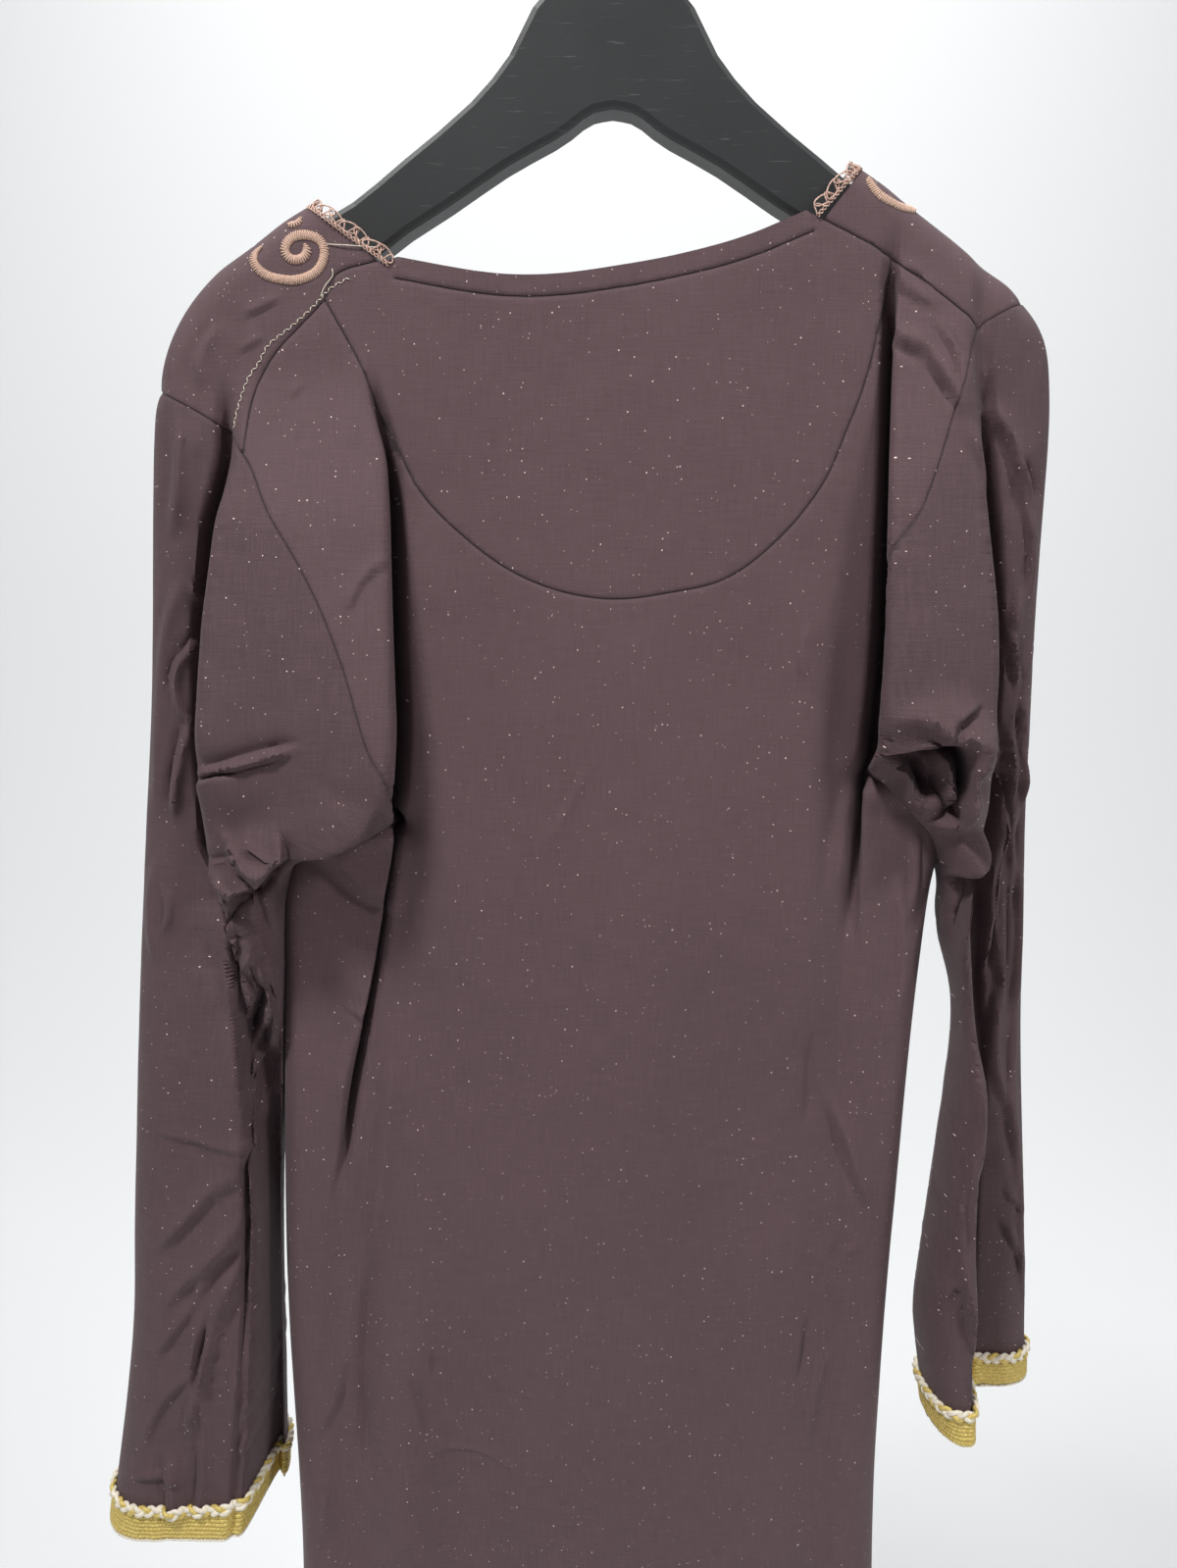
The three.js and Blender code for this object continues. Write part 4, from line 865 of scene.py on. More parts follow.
def normals_of(points, tris):
    """The normal of each point, from the triangles round it."""
    a, b, c = (points[tris[:, k]] for k in range(3))
    face = np.cross(b - a, c - a)
    out = np.zeros_like(points)
    for k in range(3):
        np.add.at(out, tris[:, k], face)
    return out / np.maximum(np.linalg.norm(out, axis=1), 1e-9)[:, None]


# %% New pieces
CLOTH = 0.9  # thickness of the cloth, in mm
SHARP = 62  # degrees between faces above which an edge of cloth is sharp
OBJECTS, AREAS = {}, {}


def new_mesh(name, points, faces, uv=None, dark=None):
    """A mesh object from points in millimetres. Cloth also brings its drawing and the painted shade of its
    seams.
    """
    mesh = bpy.data.meshes.new(name)
    mesh.from_pydata((points * MM).tolist(), [], faces)
    mesh.shade_smooth()
    if uv is not None:
        layer = mesh.uv_layers.new(name="drawing")
        corner = np.zeros(len(mesh.loops), int)
        mesh.loops.foreach_get("vertex_index", corner)
        layer.data.foreach_set("uv", (uv[corner] * MM).astype(np.float32).ravel())
        shade = mesh.attributes.new("seam", "FLOAT", "POINT")
        shade.data.foreach_set("value", dark.astype(np.float32))
        mesh.set_sharp_from_angle(angle=math.radians(SHARP))
    OBJECTS[name] = bpy.data.objects.new(f"{name}_threads" if uv is None else f"{name}_cloth", mesh)
    bpy.context.scene.collection.objects.link(OBJECTS[name])


def thick_piece(name, points, tris, normals, uv, dark):
    """The sheet with a wall of its own: an outer skin, an inner skin and closed rims."""
    used, tris = np.unique(tris, return_inverse=True)
    tris = tris.reshape(-1, 3)
    p, n = points[used], normals[used] * CLOTH / 2
    count = len(p)
    rim = {}  # edges with a triangle on one side only
    for a, b, c in tris:
        for edge in ((a, b), (b, c), (c, a)):
            if edge[::-1] in rim:
                del rim[edge[::-1]]
            else:
                rim[edge] = (edge[0], count + edge[0], count + edge[1], edge[1])
    faces = tris.tolist() + (tris[:, ::-1] + count).tolist() + list(rim.values())
    new_mesh(name, np.concatenate([p + n, p - n]), faces, np.tile(uv[used], (2, 1)), np.tile(dark[used], 2))
    a, b, c = (p[tris[:, k]] for k in range(3))
    AREAS[name] = np.linalg.norm(np.cross(b - a, c - a), axis=1).sum() / 2 * MM**2
    print(f"{name}: {2 * len(tris) + 2 * len(rim)} triangles, {AREAS[name]:.3f} m2")


# %% [markdown]
# ## Sewing the sheets together
# A sewing machine joins back, front and sleeves edge to edge. Objects that only touch would leave gaps as
# soon as one of them moved. The sheets are joined along their folded edges and armholes before they get
# their thickness, so that neighbouring pieces share every point of their seam.

# %% The sheets, each at its place
FRONT_APART = 900  # mm between the front's place in the flat drawing and the back's
# The darkness kept for each sheet is painted shade along its seams' grooves.
parts = []  # points, drawing, triangles, piece names, groove and darkness of each sheet


def add_sheet(piece, face, xz, tris, names, seams):
    """Lays a sheet out in space, and keeps what the sewing needs of it."""
    drawing = xz if face == "back" else xz * (-1, 1) + (FRONT_APART, 0)
    parts.append((cloth_points(piece, face, *xz.T), drawing, tris if face == "back" else tris[:, ::-1], names,
                  *seam_press(xz, seams)))


set_in = [(hole, 0.75) for hole in holes]  # the armholes' seams are pressed open, so they are fainter
flat_seams = [(seam, 1.0) for seam in (yoke_p, left_p, right_p, neck_seam)]
add_sheet("body", "back", back_xz, back_tris, labels, flat_seams + set_in)
add_sheet("body", "front", front_xz, front_tris, np.full(len(front_tris), "front"), set_in)
for number, side in enumerate(("left", "right")):
    outer, inner = points_of(OUTERS[side]), points_of(INNERS[side])
    outline = [holes[number], inner, straight(inner[-1], outer[-1]), outer[::-1]]
    xz, tris = fill(outline, (), [holes[number]], [OUTERS[side], INNERS[side]], LIPS[side], bends[side],
                    crease_lines(CREASES[side]))
    for face in ("back", "front"):
        add_sheet(side, face, xz, tris, np.full(len(tris), f"sleeve_{side}"), [set_in[number]])

print(len(parts), "sheets of", sum(len(p[0]) for p in parts), "points")

# %% Sewing: the shared points become one
starts = np.cumsum([0] + [len(p[0]) for p in parts])
sheet, uv, names, press, dark = (np.concatenate([p[k] for p in parts]) for k in (0, 1, 3, 4, 5))
tris = np.concatenate([p[2] + start for p, start in zip(parts, starts)])
kept, tris, good = weld(sheet, tris)
names, sheet, uv, press, dark = names[good], sheet[kept], uv[kept], press[kept], dark[kept]
sheet = sheet - normals_of(sheet, tris) * press[:, None]
normals = normals_of(sheet, tris)
for name in np.unique(names):
    thick_piece(name, sheet, tris[names == name], normals, uv, dark)


# %% [markdown]
# ## Threads
# Lace, embroidery and braid are all made of threads that follow a path over the cloth. A bevelled curve
# would make such a tube, but it can't be squeezed flat against a surface that turns. This helper can, and it
# turns many paths at once into one joined mesh.


# %% Tubes along paths
def tubes(paths, outward, radius, sides=6, closed=False, flat=1.0):
    """Joined tubes along paths that know which way is outward; `flat` squeezes them towards the cloth."""
    points, faces, count = [], [], 0
    for path, out in zip(paths, outward):
        n = len(path)
        along = np.roll(path, -1, 0) - np.roll(path, 1, 0) if closed else np.gradient(path, axis=0)
        along /= np.maximum(np.linalg.norm(along, axis=1), 1e-9)[:, None]
        side = np.cross(along, out)
        side /= np.maximum(np.linalg.norm(side, axis=1), 1e-9)[:, None]
        up = np.cross(side, along)
        turn = 2 * math.pi * np.arange(sides)[:, None] / sides
        ring = side[:, None] * np.cos(turn) + flat * up[:, None] * np.sin(turn)
        points.append((path[:, None] + radius * ring).reshape(-1, 3))
        i, j = np.meshgrid(np.arange(n if closed else n - 1), np.arange(sides), indexing="ij")
        a, b = i * sides + j, i * sides + (j + 1) % sides
        c, d = ((i + 1) % n) * sides + (j + 1) % sides, ((i + 1) % n) * sides + j
        faces += (np.stack([a, b, c, d], -1).reshape(-1, 4) + count).tolist()
        if not closed:
            last = count + (n - 1) * sides
            faces += [list(range(count, count + sides))[::-1], list(range(last, last + sides))]
        count += n * sides
    return np.concatenate(points), faces


# %% Lines laid on the cloth
def on_cloth(piece, face, xz, lift):
    """Points lifted off the cloth, and which way is outward there."""
    at, to_x, to_z = (cloth_points(piece, face, *(xz + d).T) for d in ((0, 0), (0.4, 0), (0, 0.4)))
    out = np.cross(to_x - at, to_z - at) * (1 if face == "back" else -1)
    out /= np.linalg.norm(out, axis=1)[:, None]
    return at + out * np.reshape(lift, (-1, 1)), out


def lay_on(piece, face, lines, lifts):
    """Many lines laid on the cloth at once. Gives their paths and outward directions."""
    at, out = on_cloth(piece, face, np.concatenate(lines), np.concatenate(lifts))
    cuts = np.cumsum([len(line) for line in lines])[:-1]
    return np.split(at, cuts), np.split(out, cuts)


def even(points, step):
    """The line resampled at even steps."""
    s = travelled(points)
    at = np.linspace(0, s[-1], max(3, round(s[-1] / step)))
    return np.stack([np.interp(at, s, points[:, k]) for k in range(points.shape[1])], 1)


def along_line(rows, step):
    """A typed line as a smooth one, with even steps."""
    return even(points_of(smooth_line(columns(LINE, rows), 1.0)), step)


def add_threads(name, points, faces):
    new_mesh(name, points, faces)
    print(name, len(points), "points")


# %% [markdown]
# ## Satin-stitch curls
# On each shoulder a curl is embroidered in satin stitch: short threads laid side by side across the line of
# the curl. One thick tube with a striped material would be lighter, but its outline would be too smooth. So
# each stitch is a thread of its own, and their lengths swell in the middle and shrink at both ends.
# The first curl follows the real one point by point; its points were read off it and turned into millimetres.
# Its readings went through the same scratch program.

# %% Curls
STITCH_GAP, STITCH_RADIUS, STITCH_SLANT = 0.95, 0.46, 0.25  # mm, mm, share of its own length
CURLS = [  # face, half width, points of the curl's line
    ("back", 1.9, """-162.4 -190.7 -165.5 -193.6 -166.1 -196.8 -164 -200.4 -159.9 -203.3 -153.9 -204.9
        -147.8 -205.3 -141.7 -204 -136.6 -201.1 -133.6 -196.1 -133.2 -191.1 -135.7 -187.5 -139.4 -186
        -144 -185.8 -148.2 -187.2 -150.8 -190.4 -151 -193.6 -148.6 -196.1 -145.2 -196.4 -142.1 -194.8
        -140.9 -192.2 -141.9 -190"""),
    ("back", 1.5, "-149.5 -180.6 -147 -181 -144.9 -180.1 -143.6 -178.2"),
    ("back", 2.0, "117 -160.3 118.2 -164 121.6 -168.2 127 -171 133 -172.6 140.5 -172.4"),
    ("front", 1.9, """-162 -202 -165 -209 -161 -218 -152 -223 -142 -221 -136 -214 -137 -206 -143 -202
        -149 -205 -149 -211 -145 -213"""),
    ("front", 1.9, """147 -190 150 -198 146 -207 137 -212 127 -210 121 -203 122 -195 128 -191 134 -194
        134 -200 130 -202"""),
]
paths, outs = [], []
for face, half, rows in CURLS:
    line = along_line(rows, STITCH_GAP)
    t = np.linspace(0, 1, len(line))
    along = directions(line)
    across = left_of(along) + STITCH_SLANT * along
    width = half * smooth(t / 0.08 + 0.25) * smooth((1 - t) / 0.05 + 0.35)
    width = width * (1 + 0.05 * np.sin(9 * t * len(t)))
    reach = np.linspace(-1, 1, 5)
    stitches = [line[k] + across[k] * width[k] * reach[:, None] for k in range(len(line))]
    laid = lay_on("body", face, stitches, [0.45 + 0.75 * (1 - reach**2)] * len(line))
    paths += laid[0]
    outs += laid[1]
add_threads("shoulder_curls", *tubes(paths, outs, STITCH_RADIUS))

# %% [markdown]
# ## Loose and sewn threads
# A zigzag of pale thread holds the shoulder's facing, and a few ends were never snipped off. They could be
# drawn in the material, but a loose thread casts a shadow, and that is what makes it look loose.
# Their points, too, are readings by eye that the scratch program turned into millimetres.

# %% Zigzag and loose ends
ZIGZAG = columns(LINE, """
    -121.9 -204.3   -131.2 -209   -137.6 -215.5   -148.7 -225   -154.2 -229   -161.4 -234.5
    -165.6 -241.8   -170.5 -248.4   -175 -261.1   -178 -272""")
STRAY = ["-129.8 -200.4 -129.5 -203.3 -133.5 -208.3 -135.6 -212.6",
         "-132 -189.7 -120.7 -190.4 -109.3 -191.1"]
ZIG_STEP, ZIG_HALF, FINE_THREAD = 2.0, 0.7, 0.2  # mm
line = even(points_of(smooth_line(ZIGZAG)), ZIG_STEP)
line += ZIG_HALF * (-1.0) ** np.arange(len(line))[:, None] * left_of(directions(line))
stitches = [a + (b - a) * np.linspace(0.12, 0.88, 4)[:, None] for a, b in zip(line[:-1], line[1:])]
lifts = [np.array([0.55, 0.75, 0.75, 0.55])] * len(stitches)
for rows in STRAY:
    stitches.append(along_line(rows, 1.0))
    lifts.append(0.7 + 0.8 * np.sin(np.linspace(0, math.pi, len(stitches[-1]))))
paths, outs = lay_on("body", "back", stitches, lifts)
add_threads("pale_stitches", *tubes(paths, outs, FINE_THREAD, 5))

# %% [markdown]
# ## Chain lace
# A narrow lace edges the front neckline and runs over both shoulders to the back neckline. It is worked like
# a crocheted chain: long loops that catch each other, a strand that zigzags between them, and a cord along
# the cloth's edge. A strip with a see-through pattern would be quick, but flat. Loops of thread on one
# smooth middle line keep the holes, and the light that falls through them.

# %% The lace's middle line
INSET = 3.2  # mm from the lace's outer edge to its middle
STEP = 0.6  # mm between the points of its middle line
tops = [points_of(ridge)[0] for ridge in RIDGES]
shoulders = [[end, mix(end, top, 0.5), top] for end, top in zip((neck_p[0], neck_p[-1]), tops)]
legs = [("back", offset(np.array(shoulders[0]), INSET)),
        ("front", offset(points_of(neck_front), -INSET)[1:-1]),
        ("back", offset(np.array(shoulders[1][::-1]), INSET))]
laid = zip(*(on_cloth("body", face, even(line, STEP), 0.5) for face, line in legs))
middle, outward = (np.concatenate(part) for part in laid)
joined = np.stack([rounded(row, 7) for row in middle.T] + [rounded(row, 20) for row in outward.T], 1)
joined = even(joined, STEP)
middle, outward = joined[:, :3], joined[:, 3:]
outward /= np.linalg.norm(outward, axis=1)[:, None]
across = np.cross(directions(middle), outward)
travel = travelled(middle)


def lace_point(s, side, up):
    """Points beside the lace's middle: s along it, side across it, up off the cloth."""
    at, c, n = (np.stack([np.interp(s, travel, rows[:, k]) for k in range(3)], 1)
                for rows in (middle, across, outward))
    return at + c * np.reshape(side, (-1, 1)) + n * np.reshape(up, (-1, 1)), n


print(f"lace: {travel[-1]:.0f} mm long")

# %% The lace's loops and strands
LOOP, CORD = 6.6, 4.2  # mm from loop to loop, and from turn to turn of the cord
rings, ring_outs = [], []
turn = np.linspace(0, 2 * math.pi, 22, endpoint=False)
for k, s in enumerate(np.arange(4.5, travel[-1] - 4, LOOP)):
    lean = 0.32 * (-1) ** k
    length, width = 4.7 + 0.3 * math.sin(k * 1.7), 2.0 + 0.25 * math.cos(k * 2.3)
    ds, dc = length * np.cos(turn), width * np.sin(turn)
    path, out = lace_point(s + ds * math.cos(lean) - dc * math.sin(lean),
                           0.9 + ds * math.sin(lean) + dc * math.cos(lean), 0.6 + 0.55 * np.cos(turn))
    rings.append(path)
    ring_outs.append(out)
s = np.arange(0.5, travel[-1] - 0.5, 0.5)
strands = [lace_point(s, -2.1 + 0.75 * np.sin(s * 2 * math.pi / CORD + phase),
                      0.6 + 0.5 * np.cos(s * 2 * math.pi / CORD + phase)) for phase in (0, math.pi)]
zig = s * 2 * math.pi / LOOP
strands.append(lace_point(s, 0.1 + 2.3 * np.sin(zig), 0.5 + 0.45 * np.cos(2 * zig)))
ring_points, ring_faces = tubes(rings, ring_outs, 0.36, closed=True)
strand_points, strand_faces = tubes(*zip(*strands), 0.33)
lace_faces = ring_faces + [[v + len(ring_points) for v in face] for face in strand_faces]
add_threads("neck_lace", np.concatenate([ring_points, strand_points]), lace_faces)

# %% [markdown]
# ## Cuff braid
# Each sleeve ends in a woven braid of gold thread. It has a plaited edge in ivory and gold at the top, six
# gold ribs with a beaded look, and a row of small ivory loops at the bottom. It could be a flat band with a
# bump texture, but it stands well off the cloth. So its ribs are a shaped sheet and its plait real threads,
# all built on even rings round the sleeve, which keep the pattern's size the same all the way round.


# %% Even rings round a sleeve
BRAID_TOP, BRAID_HEIGHT, RINGS = 21, 22, 12  # mm above the sleeve's end, mm, number
RING_STEP = 0.5  # mm between a ring's points
ACROSS = 120  # points of a ring before it is made even, on each face


def cuff_rings(side, heights):
    """Even rings of points round the sleeve at several heights, and the first ring's girth."""
    inner, outer = (np.interp(-heights, -lines[side]["z"], lines[side]["x"]) for lines in (INNERS, OUTERS))
    t = (1 - np.cos(np.linspace(0, math.pi, ACROSS))) / 2
    x, z = mix(inner[:, None], outer[:, None], t), np.repeat(heights[:, None], ACROSS, 1)
    back, front = (cloth_points(side, face, x.ravel(), z.ravel()).reshape(-1, ACROSS, 3)
                   for face in ("back", "front"))
    girth, rings = None, []
    for loop in np.concatenate([back, front[:, -2::-1]], 1):
        s = travelled(loop)
        girth = girth or s[-1]
        at = np.linspace(0, s[-1], round(girth / RING_STEP), endpoint=False)
        rings.append(np.stack([np.interp(at, s, loop[:, k]) for k in range(3)], 1))
    return np.array(rings), girth


# %% A sheet that closes on itself
def grid_faces(rows, count):
    """Faces of a sheet that closes on itself in both directions."""
    i, j = np.meshgrid(np.arange(rows), np.arange(count), indexing="ij")
    here, below, beside = i * count, (i + 1) % rows * count, (j + 1) % count
    return np.stack([here + j, below + j, below + beside, here + beside], -1).reshape(-1, 4).tolist()


# %% Braid on a cuff
RIB_TOP, RIB_END, RIBS_HIGH, RIBS = 5.6, 19.9, 14.2, 6  # mm below the braid's top, height in mm, number
BEAD = 1.9  # mm from bead to bead
PLAIT, PLAIT_RADIUS, PLAIT_SIDES = 14.5, 1.42, 10  # mm from turn to turn, mm, number
PICOT, PICOT_RADIUS = 3.2, 0.55  # the small loops at the bottom, in mm


def braid(side):
    """The braid round one sleeve's end: ribs, plait and small loops, in gold (0) and ivory (1)."""
    heights = INNERS[side]["z"][-1] + BRAID_TOP - np.linspace(0, BRAID_HEIGHT, RINGS)
    rings, girth = cuff_rings(side, heights)
    count = rings.shape[1]
    out = np.cross(np.roll(rings, -1, 1) - np.roll(rings, 1, 1), np.gradient(rings, axis=0))
    out /= np.linalg.norm(out, axis=2)[..., None]
    if ((rings - rings.mean((0, 1))) * out).sum() < 0:
        out = -out
    s = np.arange(count) * girth / count

    def place(v, lift):
        """Points all round, at depth v below the braid's top, lifted off the cloth, and outward there."""
        k = np.arange(count)
        f = np.clip(v / BRAID_HEIGHT * (RINGS - 1), 0, RINGS - 1.001) + 0.0 * k
        i, t = f.astype(int), (f % 1)[:, None]
        at, n = mix(rings[i, k], rings[i + 1, k], t), mix(out[i, k], out[i + 1, k], t)
        return at + n * np.reshape(lift, (-1, 1)), n

    skins = [[], []]
    for v in np.arange(RIB_TOP, RIB_END, 0.34):
        rib = RIBS * (v - RIB_TOP) / RIBS_HIGH
        bead = 0.72 + 0.28 * np.sin(2 * math.pi * s / BEAD + math.pi * math.floor(rib))
        height = 1.2 + 1.15 * abs(math.sin(math.pi * rib)) ** 0.7 * bead
        skins[0].append(place(v, height)[0])
        skins[1].insert(0, place(v, 0.6)[0])
    ribs = np.array(skins[0] + skins[1])
    made = [(ribs.reshape(-1, 3), grid_faces(len(ribs), count))]

    turn = 2 * math.pi * s / (girth / round(girth / PLAIT))
    plait = [place(2.6 + 1.9 * np.sin(turn + phase), 2.0 + 1.0 * np.sin(2 * (turn + phase)))
             for phase in 2 * math.pi * np.arange(3) / 3]
    paths, outs = ([strand[k][::2] for strand in plait] for k in (0, 1))
    made.append(tubes(paths, outs, PLAIT_RADIUS, PLAIT_SIDES, closed=True, flat=0.75))

    turn = math.pi * s / (girth / round(girth / PICOT))
    loops = [place(20.2 + 1.3 * np.abs(np.sin(turn + phase)), 1.2 + 0.4 * np.cos(2 * (turn + phase)))
             for phase in (0, math.pi / 2)]
    paths, outs = ([loop[k][::2] for loop in loops] for k in (0, 1))
    made.append(tubes(paths, outs, PICOT_RADIUS, closed=True))

    starts = np.cumsum([0] + [len(points) for points, _ in made])
    faces = [[v + start for v in face] for (_, part), start in zip(made, starts) for face in part]
    add_threads(f"cuff_braid_{side}", np.concatenate([points for points, _ in made]), faces)
    gold_end, plait_faces = len(made[0][1]), len(made[1][1])
    finish = np.ones(len(faces), int)
    finish[:gold_end] = 0
    finish[gold_end + 2 * plait_faces // 3:gold_end + plait_faces] = 0  # one strand of the plait is gold
    OBJECTS[f"cuff_braid_{side}"].data.polygons.foreach_set("material_index", finish)


for side in ("left", "right"):
    braid(side)

# %% [markdown]
# ## Shader maths in plain expressions
# Blender's shaders are graphs of nodes. They could be wired up by hand in the editor, but a graph of forty
# nodes is hard to read later. The small class below wraps one socket, so that `0.3 + 0.2 * weave` adds the
# Math nodes by itself, and `node` makes any other node with its settings and inputs.


# %% One socket with arithmetic
class Shade:
    """One output socket of a material, with arithmetic."""

    def __init__(self, tree, socket):
        self.tree, self.socket = tree, socket

    def node(self, kind, settings=None, out=0, **inputs):
        """Any node: its settings first, then the values or links of its sockets, by name or as i0, i1."""
        made = self.tree.nodes.new(kind)
        for name, value in (settings or {}).items():
            if name == "stops":
                ramp = made.color_ramp
                while len(ramp.elements) > 1:
                    ramp.elements.remove(ramp.elements[-1])
                for i, (place, colour) in enumerate(value):
                    stop = ramp.elements[0] if i == 0 else ramp.elements.new(place)
                    stop.position, stop.color = place, (*colour, 1)
            else:
                setattr(made, name, value)
        for name, value in inputs.items():
            socket = made.inputs[int(name[1:]) if name[1:].isdigit() else name.replace("_", " ")]
            if isinstance(value, Shade):
                self.tree.links.new(value.socket, socket)
            else:
                socket.default_value = value
        return Shade(self.tree, made.outputs[out])

    def other(self, out):
        """Another output of the same node."""
        return Shade(self.tree, self.socket.node.outputs[out])

    def maths(self, operation, *others):
        values = {f"i{i}": value for i, value in enumerate((self, *others))}
        return self.node("ShaderNodeMath", {"operation": operation}, **values)

    def __add__(self, other):
        return self.maths("ADD", other)

    def __sub__(self, other):
        return self.maths("SUBTRACT", other)

    def __mul__(self, other):
        return self.maths("MULTIPLY", other)

    def __rsub__(self, other):
        return (self * -1.0) + other

    def __pow__(self, other):
        return self.maths("POWER", other)

    __radd__, __rmul__ = __add__, __mul__

    def blend(self, low, high):
        """A colour between two others, by this value."""
        low, high = (c if isinstance(c, Shade) else (*c, 1) for c in (low, high))
        return self.node("ShaderNodeMix", {"data_type": "RGBA"}, out=2, Factor=self, i6=low, i7=high)

    def clamp(self):
        return self.node("ShaderNodeClamp", Value=self)


# %% A material and its shader
def new_material(name, **fixed):
    """A material and its first shade, with the sockets that don't vary set at once."""
    material = bpy.data.materials.new(name)
    material.use_nodes = True
    shader = material.node_tree.nodes["Principled BSDF"]
    for key, value in fixed.items():
        shader.inputs[key.replace("_", " ")].default_value = value
    return material, shader, Shade(material.node_tree, None)


def connect(shader, **links):
    """Links what varies over the surface to the shader's sockets."""
    for key, value in links.items():
        shader.id_data.links.new(value.socket, shader.inputs[key.replace("_", " ")])


# %% [markdown]
# ## The cloth's finish
# The cloth is a matt crepe in a brownish plum. A plain weave shows as a fine grid, single threads are a
# little lighter or darker, and a glitter yarn gives scattered specks that catch the light. A tiled image of
# cloth would repeat, and blur from close by. So sine waves along the flat drawing make the weave, stretched
# noise the threads, and rare small cells the glitter. The seams' grooves and the sleeves also get painted
# shade.

# %% Cloth material
PLUM_DARK, PLUM_LIGHT = (0.066, 0.036, 0.041), (0.150, 0.088, 0.098)
# The first colour below is the painted shade of a seam's groove.
SEAM_PAINTED_SHADE, SPECK = (0.012, 0.008, 0.010), (0.86, 0.67, 0.62)
THREAD_PITCH = 0.00115  # metres between two threads
ALONG, ACROSS_THREAD = 60.0, 1400.0  # scales of the noise that tells one thread from the next
SPECK_CELLS = 360.0  # cells in a metre, of which some hold a speck
SPECK_SHARE, SPECK_SIZE, SPECK_MORE = 0.45, 0.00016, 0.00022  # share without one; metres
# Painted shade: the sleeves' cloth is darkened to stand in for the shade that falls on them.
SLEEVE_PAINTED_SHADE = -0.20  # the sleeves are a shade darker


def cloth_material(name, painted_shade_shift):
    """Crepe with a weave, uneven threads and glitter, with painted shade along the seams, and a shift of tone
    that paints shade over the whole piece.
    """
    material, shader, s = new_material(name, Roughness=0.8, Sheen_Weight=0.05, Sheen_Roughness=0.5)
    drawing = s.node("ShaderNodeUVMap", {"uv_map": "drawing"})
    u = s.node("ShaderNodeSeparateXYZ", Vector=drawing)
    v = u.other(1)
    wobble = s.node("ShaderNodeTexNoise", Vector=drawing, Scale=240.0, Detail=1.0)
    turn = 2 * math.pi / THREAD_PITCH
    warp = (u * turn + wobble * 2.4).maths("SINE")
    weft = (v * turn + wobble * 2.4).maths("SINE")
    weave = warp * weft
    slubs = []
    for scale in ((ACROSS_THREAD, ALONG, 1.0), (ALONG, ACROSS_THREAD, 1.0)):
        stretched = s.node("ShaderNodeMapping", Vector=drawing, Scale=scale)
        slubs.append(s.node("ShaderNodeTexNoise", Vector=stretched, Scale=1.0, Detail=2.0))
    slub, slub_across = slubs
    cloud = s.node("ShaderNodeTexNoise", Vector=drawing, Scale=9.0, Detail=3.0)
    grain = s.node("ShaderNodeTexNoise", Vector=drawing, Scale=1100.0, Detail=2.0)
    tone = (slub + slub_across) * 0.55 + grain * 0.5 + weave * 0.07 + cloud * 0.25 + (painted_shade_shift - 0.42)
    colour = tone.clamp().blend(PLUM_DARK, PLUM_LIGHT)
    # Painted shade: the seams' grooves are darkened by the darkness kept with each point.
    seam = s.node("ShaderNodeAttribute", {"attribute_name": "seam"}, out=2)
    colour = (seam * 0.66).clamp().blend(colour, SEAM_PAINTED_SHADE)
    cells = s.node("ShaderNodeTexVoronoi", {"feature": "F1"}, Vector=drawing, Scale=SPECK_CELLS,
                   Randomness=1.0)
    chance = s.node("ShaderNodeSeparateColor", Color=cells.other("Color"))
    size = chance.other(1) ** 3.0 * SPECK_MORE + SPECK_SIZE
    near = (cells * (1 / SPECK_CELLS)).maths("LESS_THAN", size)
    speck = chance.maths("GREATER_THAN", SPECK_SHARE) * near
    colour = speck.blend(colour, SPECK)
    height = weave * 0.5 + slub + slub_across + grain
    bump = s.node("ShaderNodeBump", Strength=0.35, Distance=0.0004, Height=height)
    connect(shader, Base_Color=colour, Roughness=0.82 - speck * 0.5, Normal=bump)
    return material


def finish_with(name, *materials):
    """Gives a piece its materials."""
    for material in materials:
        OBJECTS[name].data.materials.append(material)


crepe = cloth_material("plum_crepe", 0.0)
# The sleeves get their own copy of the crepe, darker by painted shade.
painted_shade_sleeve_crepe = cloth_material("plum_crepe_sleeves", SLEEVE_PAINTED_SHADE)
for name in AREAS:
    finish_with(name, painted_shade_sleeve_crepe if name.startswith("sleeve") else crepe)
print("cloth pieces:", ", ".join(AREAS))

# %% [markdown]
# ## The threads' finish
# The curls and the lace are a rose-gold rayon, the stitches ivory cotton, the braid a yellow metallic thread
# with an ivory plait. Four separate graphs would say the same thing four times. One recipe with two colours,
# a roughness and a share of metal is enough, because rayon and metallic threads only glint more than cotton.


# %% Thread materials
def thread_material(name, dark, light, rough, metal, size):
    """Thread with flecks of the given size, from a dark to a light colour."""
    material, shader, s = new_material(name, Metallic=metal)
    place = s.node("ShaderNodeTexCoord", out=3)
    fleck = s.node("ShaderNodeTexNoise", Vector=place, Scale=size, Detail=2.0)
    fine = s.node("ShaderNodeTexNoise", Vector=place, Scale=size * 6, Detail=1.0)
    colour = ((fleck - 0.5) * 1.6 + fine * 0.7 + 0.15).clamp().blend(dark, light)
    bump = s.node("ShaderNodeBump", Strength=0.5, Distance=0.0003, Height=fine)
    connect(shader, Base_Color=colour, Roughness=fine * 0.3 + rough, Normal=bump)
    return material


